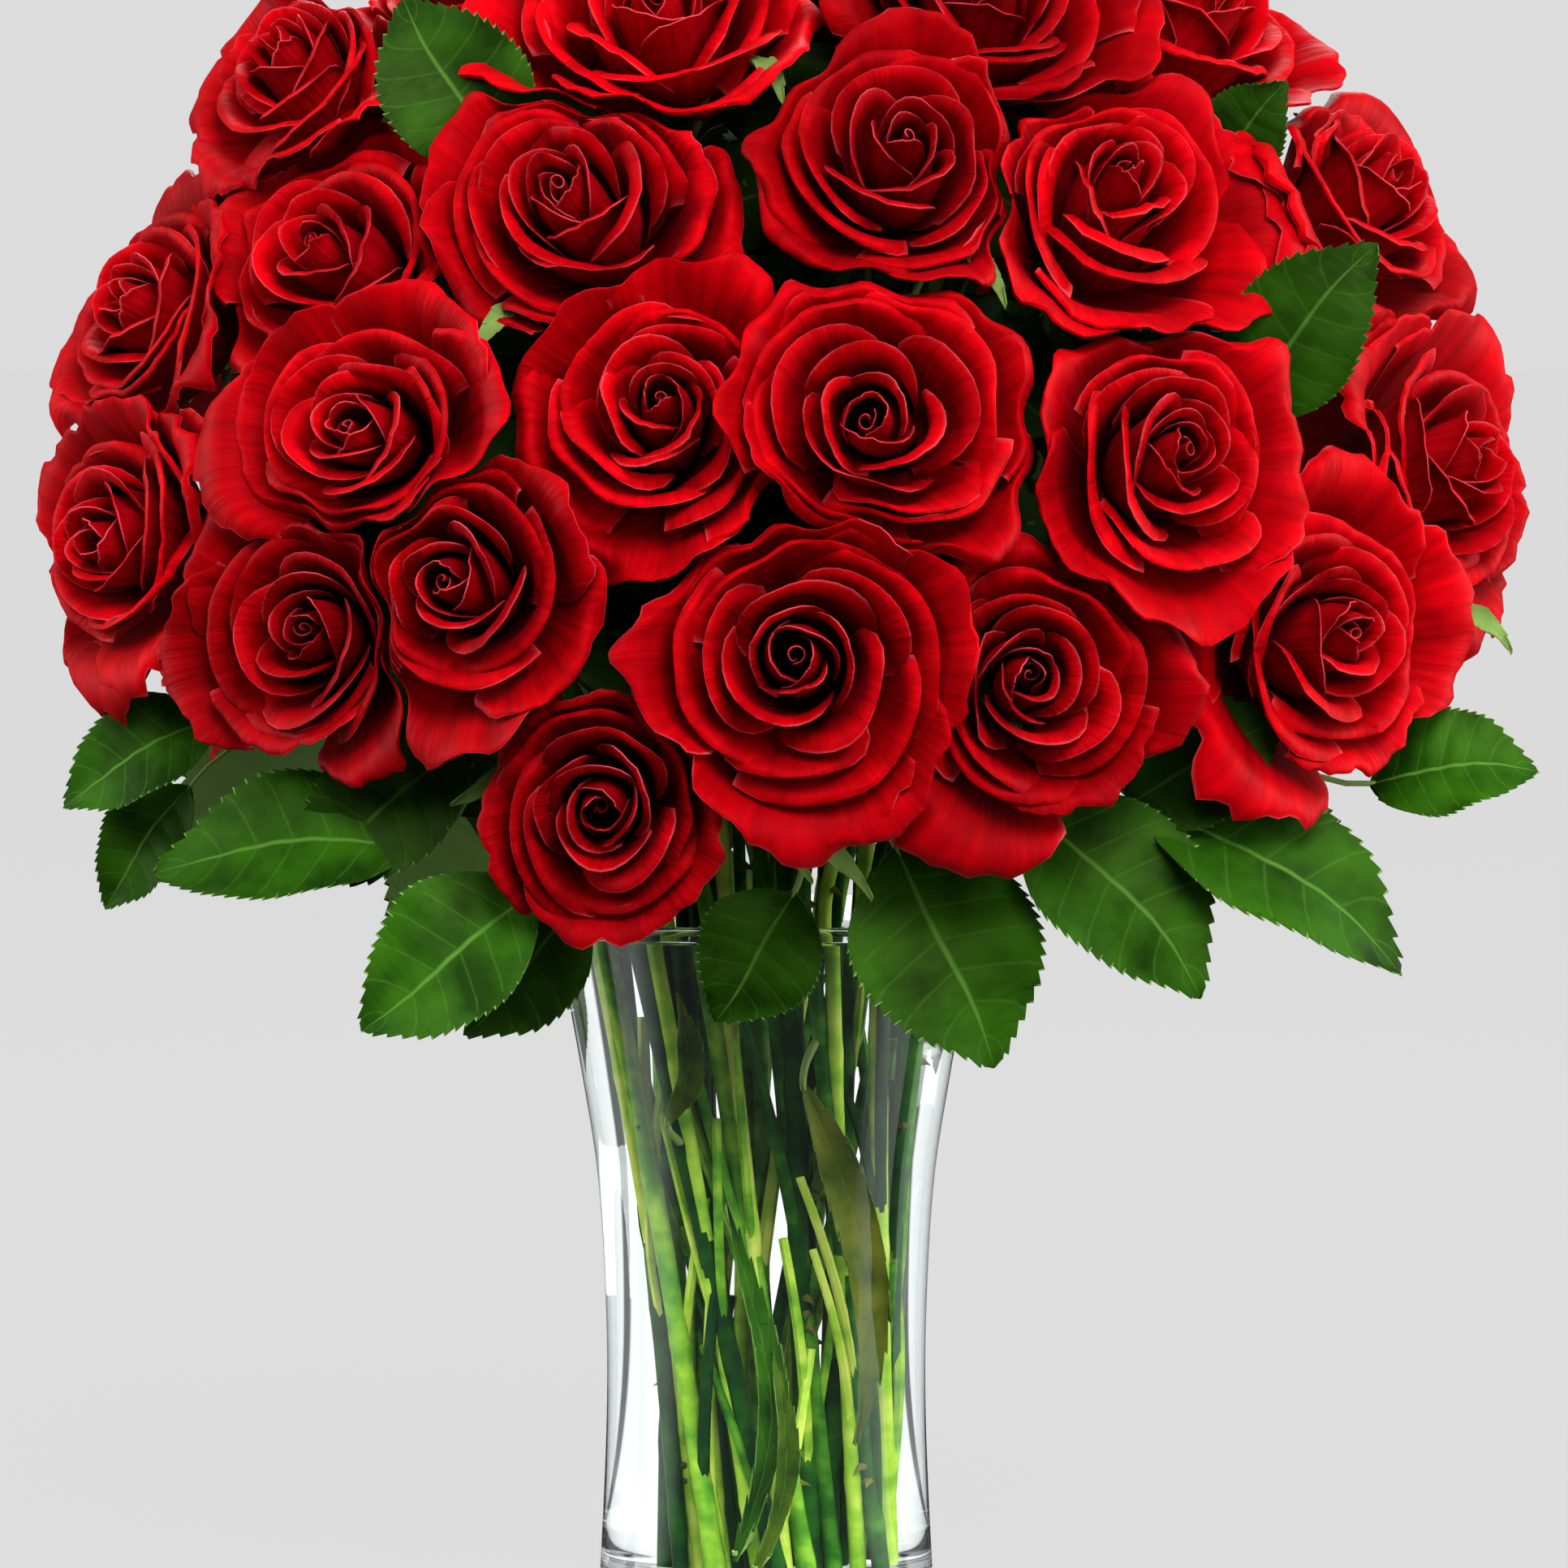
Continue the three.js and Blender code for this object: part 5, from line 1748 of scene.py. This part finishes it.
@dataclass(frozen=True)
class LeafFinish:
    """Rose leaves: a satin dark green upper face with pale sunken veins, and a dull pale underside.

    Attributes:
        upper: The upper face's green.
        dark: The green of its darker patches.
        under: The underside.
        vein: The veins.
        stalk: The stalk, and long sepals.
        withered: The brownish olive of leaves that wither in the water.
        gleam: The tint of the gloss.
        veins: How many side veins each half has.
        blotch_mm: The size of the patches.
        roughness: How matt the leaves are.
        gloss: How strong the gloss is.
        relief_mm: How far the veins sink in.
    """

    upper: str = "234E06"
    dark: str = "0D2A03"
    under: str = "5F7F40"
    vein: str = "4A7428"
    stalk: str = "7E9650"
    withered: str = "6E6E22"
    gleam: str = "D8F090"
    veins: float = 7.0
    blotch_mm: float = 18.0
    roughness: float = 0.52
    gloss: float = 0.12
    relief_mm: float = 0.3

    def material(self) -> Material:
        """Build the leaf material.

        Returns:
            The material.
        """
        reads = "back", "tint", "stalk", "shade", "withered"
        material, tree, back, tint, stalk, shade, withered = new_material("rose_leaf_satin", *reads)
        place = add_node(tree, "SeparateXYZ", Vector=add_node(tree, "UVMap", uv_map="place"))
        across, up = place.node.outputs[:2]
        # Dark and lighter green in soft patches, which go brown where a leaf withers
        coords = add_node(tree, "TexCoord", "Object")
        blotch = add_node(tree, "TexNoise", Vector=coords, Scale=1 / (self.blotch_mm * MM), Detail=4.0)
        light = add_node(tree, "MapRange", Value=blotch, From_Min=0.35, From_Max=0.65)
        colour = add_node(tree, "Mix", **BLEND, i0=light, i6=linear(self.dark), i7=linear(self.upper))
        brown = add_node(tree, "Math", operation="MULTIPLY", i0=withered, i1=light)
        # A pale midrib, and side veins that slant towards the tip as the quilting of the blade does
        side = add_node(tree, "Math", operation="ABSOLUTE", i0=across)
        slant = add_node(tree, "Math", operation="MULTIPLY", i0=up, i1=self.veins)
        order = add_node(tree, "Math", operation="MULTIPLY_ADD", i0=side, i1=-0.8, i2=slant)
        apart = add_node(tree, "Math", operation="PINGPONG", i0=order, i1=0.5)
        lateral = add_node(tree, "MapRange", Value=apart, From_Min=0.0, From_Max=0.06, To_Min=0.2, To_Max=0.0)
        midrib = add_node(tree, "MapRange", Value=side, From_Min=0.012, From_Max=0.045, To_Min=0.7, To_Max=0.0)
        lines = add_node(tree, "Math", operation="MAXIMUM", i0=lateral, i1=midrib)
        # Brown, veins, the dull underside and the stalk's own green, one over the other
        coats = (brown, self.withered), (lines, self.vein), (back, self.under), (stalk, self.stalk)
        for share, code in coats:
            colour = add_node(tree, "Mix", **BLEND, i0=share, i6=colour, i7=linear(code))
        # Each leaf has its own tint, and painted shade darkens the leaves that lie in the shadow of the flowers
        each = add_node(tree, "MapRange", Value=tint, To_Min=0.75, To_Max=1.3)
        painted_leaf_shade = add_node(tree, "MapRange", Value=shade, To_Min=1.0, To_Max=0.35)
        level = add_node(tree, "Math", operation="MULTIPLY", i0=each, i1=painted_leaf_shade)
        colour = add_node(tree, "VectorMath", operation="SCALE", i0=colour, Scale=level)
        # Sunken veins break up a soft yellow-green gloss
        height = add_node(tree, "Math", operation="SUBTRACT", i0=blotch, i1=lines)
        bump = add_node(tree, "Bump", Strength=0.5, Distance=self.relief_mm * MM, Height=height)
        shader = add_node(
            tree, "BsdfPrincipled", Base_Color=colour, Roughness=self.roughness, Normal=bump,
            Specular_IOR_Level=self.gloss, Specular_Tint=linear(self.gleam),
        )
        add_node(tree, "OutputMaterial", Surface=shader)
        return material


@dataclass(frozen=True)
class StemFinish:
    """Rose stems: yellow-green to olive, mottled, with browner thorns and paler sepals.

    Attributes:
        hues: The greens that stems have, as places from 0 to 1 and colours.
        thorn: The thorns' brown.
        sepal: The sepals' green.
        blotch_mm: The size of the mottles.
        roughness: How matt the stems are.
        gloss: How strong the gloss is.
        relief_mm: How uneven the bark is.
    """

    hues: tuple[tuple[float, str], ...] = (
        (0, "0A2C10"), (0.3, "1C5010"), (0.55, "4E8620"), (0.8, "8EB434"), (1, "BCC858"),
    )
    thorn: str = "5A5A24"
    sepal: str = "7C9A55"
    blotch_mm: float = 9.0
    roughness: float = 0.45
    gloss: float = 0.05
    relief_mm: float = 0.3

    def material(self) -> Material:
        """Build the stem material.

        Returns:
            The material.
        """
        material, tree, tint, thorn, sepal = new_material("rose_stem_green", "tint", "thorn", "sepal")
        # Every stem has its own green from dark to yellowish, mottled along its length
        coords = add_node(tree, "TexCoord", "Object")
        blotch = add_node(tree, "TexNoise", Vector=coords, Scale=1 / (self.blotch_mm * MM), Detail=4.0)
        mottle = add_node(tree, "MapRange", Value=blotch, From_Min=0.3, From_Max=0.7, To_Min=-0.2, To_Max=0.2)
        share = add_node(tree, "Math", operation="ADD", use_clamp=True, i0=tint, i1=mottle)
        colour = add_node(tree, "ValToRGB", i0=share)
        hues = colour.node.color_ramp.elements
        for place, code in self.hues[1:-1]:
            hues.new(place).color = linear(code)
        hues[0].color = linear(self.hues[0][1])
        hues[-1].color = linear(self.hues[-1][1])
        for part, code in ((thorn, self.thorn), (sepal, self.sepal)):
            colour = add_node(tree, "Mix", **BLEND, i0=part, i6=colour, i7=linear(code))
        bump = add_node(tree, "Bump", Strength=0.4, Distance=self.relief_mm * MM, Height=blotch)
        shader = add_node(
            tree, "BsdfPrincipled", Base_Color=colour, Roughness=self.roughness, Normal=bump,
            Specular_IOR_Level=self.gloss,
        )
        add_node(tree, "OutputMaterial", Surface=shader)
        return material


@dataclass(frozen=True)
class ClearFinish:
    """A clear body: pressed soda-lime glass or still water. Lamps shine through it to what is inside.

    Attributes:
        name: The material's name.
        ior: How strongly it bends light.
        tint: The colour of light that has passed through it.
    """

    name: str
    ior: float
    tint: str

    def material(self) -> Material:
        """Build the clear material.

        Returns:
            The material.
        """
        material, tree = new_material(self.name)
        # A smooth body that mirrors and bends what the eye sees through it, and throws no hard shadow
        body = add_node(
            tree, "BsdfPrincipled", Base_Color=linear(self.tint), Roughness=0.0, IOR=self.ior,
            Transmission_Weight=1.0,
        )
        open_way = add_node(tree, "BsdfTransparent", Color=linear(self.tint))
        shadow = add_node(tree, "LightPath", "Is Shadow Ray")
        both = add_node(tree, "MixShader", i0=shadow, i1=body, i2=open_way)
        add_node(tree, "OutputMaterial", Surface=both)
        return material


@dataclass
class Studio:
    """The camera, a pale floor and soft light.

    Attributes:
        pixel_mm: Millimetres a pixel at the object.
        pixels: The width of the full picture.
        distance: From the camera to the middle of the view.
        elevation: The camera's height above the horizon, in degrees.
        middle: The middle of the view.
        sensor: The width of the camera's sensor.
        target: The point that the lamps look at.
        lamps: For each lamp its name, place, size and power.
        backdrop: How bright the room behind the object is.
        behind_glass: How bright the room is as seen through the glass.
        dim: How bright the dark part of the room in front is, through the glass.
        screens: The dark screens, as turns from straight behind in degrees.
        dark: How bright the screens are.
        front: Where the room turns dark towards the front, in degrees.
        mirrored: How bright the room is in reflections.
        ambient: How much light the room gives.
        floor_size: Half the floor's width in metres.
        floor_albedo: How much light the floor sends back.
        floor_light: How much light falls on the floor.
    """

    pixel_mm: float = 0.2286
    pixels: int = 1932
    distance: float = 2000
    elevation: float = 4
    middle: Sequence[float] = (5.03, 0, 238.7)
    sensor: float = 36
    target: Sequence[float] = (0, 0, 300.0)
    lamps: Sequence[tuple[str, Sequence[float], Sequence[float], float]] = (
        ("key_softbox", (480, -1600, 1700), (1300, 1100), 68),
        ("side_softbox", (1150, -1250, 420), (380, 1100), 13),
        ("fill_softbox", (-1300, -1100, 1300), (900, 700), 14),
        ("back_softbox", (0, 1600, 1500), (1300, 900), 24),
        ("left_softbox", (-1600, 100, 700), (500, 1400), 14),
        ("right_softbox", (1600, 100, 700), (500, 1400), 20),
    )
    backdrop: float = 0.716
    behind_glass: float = 1.3
    dim: float = 0.04
    screens: Sequence[tuple[float, float]] = ((31, 34.5), (70, 79))
    dark: float = 0.05
    front: tuple[float, float] = (100, 115)
    mirrored: float = 0.03
    ambient: float = 0.26
    floor_size: float = 30.0
    floor_albedo: float = 0.02
    floor_light: float = 0.85

    def build(self) -> None:
        """Make the camera, the world, the floor and the lamps."""
        self.camera()
        self.world()
        self.floor()
        for lamp in self.lamps:
            self.lamp(*lamp)
        bpy.context.scene.view_settings.view_transform = "Standard"

    def camera(self) -> None:
        """Place the camera in front of the bouquet, looking slightly down."""
        data = bpy.data.cameras.new("camera")
        data.sensor_width = self.sensor
        data.lens = self.sensor * self.distance / (self.pixel_mm * self.pixels)
        camera = bpy.data.objects.new("camera", data)
        angle = math.radians(self.elevation)
        back = np.array([0, -math.cos(angle), math.sin(angle)]) * self.distance
        camera.location = tuple((np.array(self.middle) + back) * MM)
        camera.rotation_euler = (math.pi / 2 - angle, 0, 0)
        bpy.context.scene.collection.objects.link(camera)
        bpy.context.scene.camera = camera

    def by_ray(self, tree: Tree, seen: float, way: Any) -> Any:
        """Give the room or the floor a brightness for each kind of ray.

        Args:
            tree: The node tree.
            seen: The brightness that the camera sees.
            way: The direction to the place, for what is seen through the glass.

        Returns:
            The brightness, also for reflections and for all other light.
        """
        glass = self.around(tree, way)
        rays = add_node(tree, "LightPath").node.outputs
        value = add_node(tree, "Mix", i0=rays["Is Glossy Ray"], i2=self.ambient, i3=self.mirrored)
        direct = add_node(tree, "Math", operation="LESS_THAN", i0=rays["Diffuse Depth"], i1=0.5)
        through = add_node(tree, "Math", operation="MULTIPLY", i0=rays["Is Transmission Ray"], i1=direct)
        value = add_node(tree, "Mix", i0=through, i2=value, i3=glass)
        return add_node(tree, "Mix", i0=rays["Is Camera Ray"], i2=value, i3=seen)

    def world(self) -> None:
        """Make a room that is pale behind the object and dim all round it.

        Seen through the glass it is bright behind the vase and dim in front of it, and a narrow dark screen
        stands on either side.
        """
        world = bpy.data.worlds.new("studio_room")
        world.use_nodes = True
        tree = world.node_tree
        tree.nodes.clear()
        level = self.by_ray(tree, self.backdrop, add_node(tree, "TexCoord", "Generated"))
        shader = add_node(tree, "Background", Color=(1, 1, 1, 1), Strength=level)
        add_node(tree, "OutputWorld", Surface=shader)
        bpy.context.scene.world = world

    def around(self, tree: Tree, way: Any) -> Any:
        """Give the brightness of the room as seen through the glass, by the turn from straight behind.

        Args:
            tree: The node tree.
            way: The direction, or a place on the floor.

        Returns:
            The brightness.
        """
        x, y = add_node(tree, "SeparateXYZ", Vector=way).node.outputs[:2]
        side = add_node(tree, "Math", operation="ABSOLUTE", i0=x)
        turn = add_node(tree, "Math", operation="ARCTAN2", i0=side, i1=y)
        share = add_node(tree, "MapRange", Value=turn, From_Min=0.0, From_Max=math.pi)
        level = add_node(tree, "ValToRGB", i0=share)
        stops = level.node.color_ramp.elements
        places = [(self.front[0], 1.0), (self.front[1], self.dim)]
        for low, high in self.screens:
            places += [(low - 1.0, 1.0), (low, self.dark), (high, self.dark), (high + 1.0, 1.0)]
        for degrees, grey in places:
            stops.new(degrees / 180).color = (grey, grey, grey, 1)
        stops[0].color = (1, 1, 1, 1)
        stops[-1].color = (self.dim, self.dim, self.dim, 1)
        return add_node(tree, "Math", operation="MULTIPLY", i0=level, i1=self.behind_glass)

    def floor(self) -> None:
        """Make a wide pale floor that fades into the room.

        Seen through the glass it has the room's bright and dark parts.
        """
        corners = [(x, y, 0) for x, y in self.floor_size * np.array([[-1, -1], [1, -1], [1, 1], [-1, 1]])]
        mesh = bpy.data.meshes.new("floor")
        mesh.from_pydata(corners, [], [(0, 1, 2, 3)])
        material, tree = new_material("pale_floor")
        lit = self.floor_light * self.floor_albedo
        # It shines by itself as bright as the room, less what it sends back of the lamps' light
        level = self.by_ray(tree, self.backdrop - lit, add_node(tree, "TexCoord", "Object"))
        shader = add_node(
            tree, "BsdfPrincipled", Base_Color=(self.floor_albedo,) * 3 + (1,), Roughness=0.9,
            Specular_IOR_Level=0.0, Emission_Color=(1, 1, 1, 1), Emission_Strength=level,
        )
        add_node(tree, "OutputMaterial", Surface=shader)
        mesh.materials.append(material)
        floor = bpy.data.objects.new("floor", mesh)
        bpy.context.scene.collection.objects.link(floor)

    def lamp(self, name: str, place: Sequence[float], size: Sequence[float], power: float) -> None:
        """Add a soft rectangular lamp that looks at the bouquet.

        Args:
            name: Its name.
            place: Where it stands.
            size: Its width and height.
            power: Its power in watts.
        """
        data = bpy.data.lights.new(name, "AREA")
        data.shape = "RECTANGLE"
        data.size, data.size_y = size[0] * MM, size[1] * MM
        data.energy = power
        lamp = bpy.data.objects.new(name, data)
        way = np.array(self.target) - np.array(place)
        lamp.location = tuple(np.array(place) * MM)
        pitch = math.atan2(math.hypot(way[0], way[1]), -way[2])
        lamp.rotation_euler = (pitch, 0, math.atan2(way[1], way[0]) - math.pi / 2)
        bpy.context.scene.collection.objects.link(lamp)


def main() -> None:
    """Build the vase, the flowers and the greens in the studio."""
    logging.basicConfig(level=logging.INFO, format="%(name)s: %(message)s")
    Vase().build(
        ClearFinish("clear_pressed_glass", 1.5, "FBFDFD").material(),
        ClearFinish("still_water", 1.333, "FAFDFC").material(),
    )
    petals = PetalFinish().material()
    for index, flower in enumerate(FLOWERS):
        RoseHead(flower, index).build(petals)
    Greens(Bundle()).build(StemFinish().material(), LeafFinish().material())
    Studio().build()


if __name__ == "__main__":
    main()
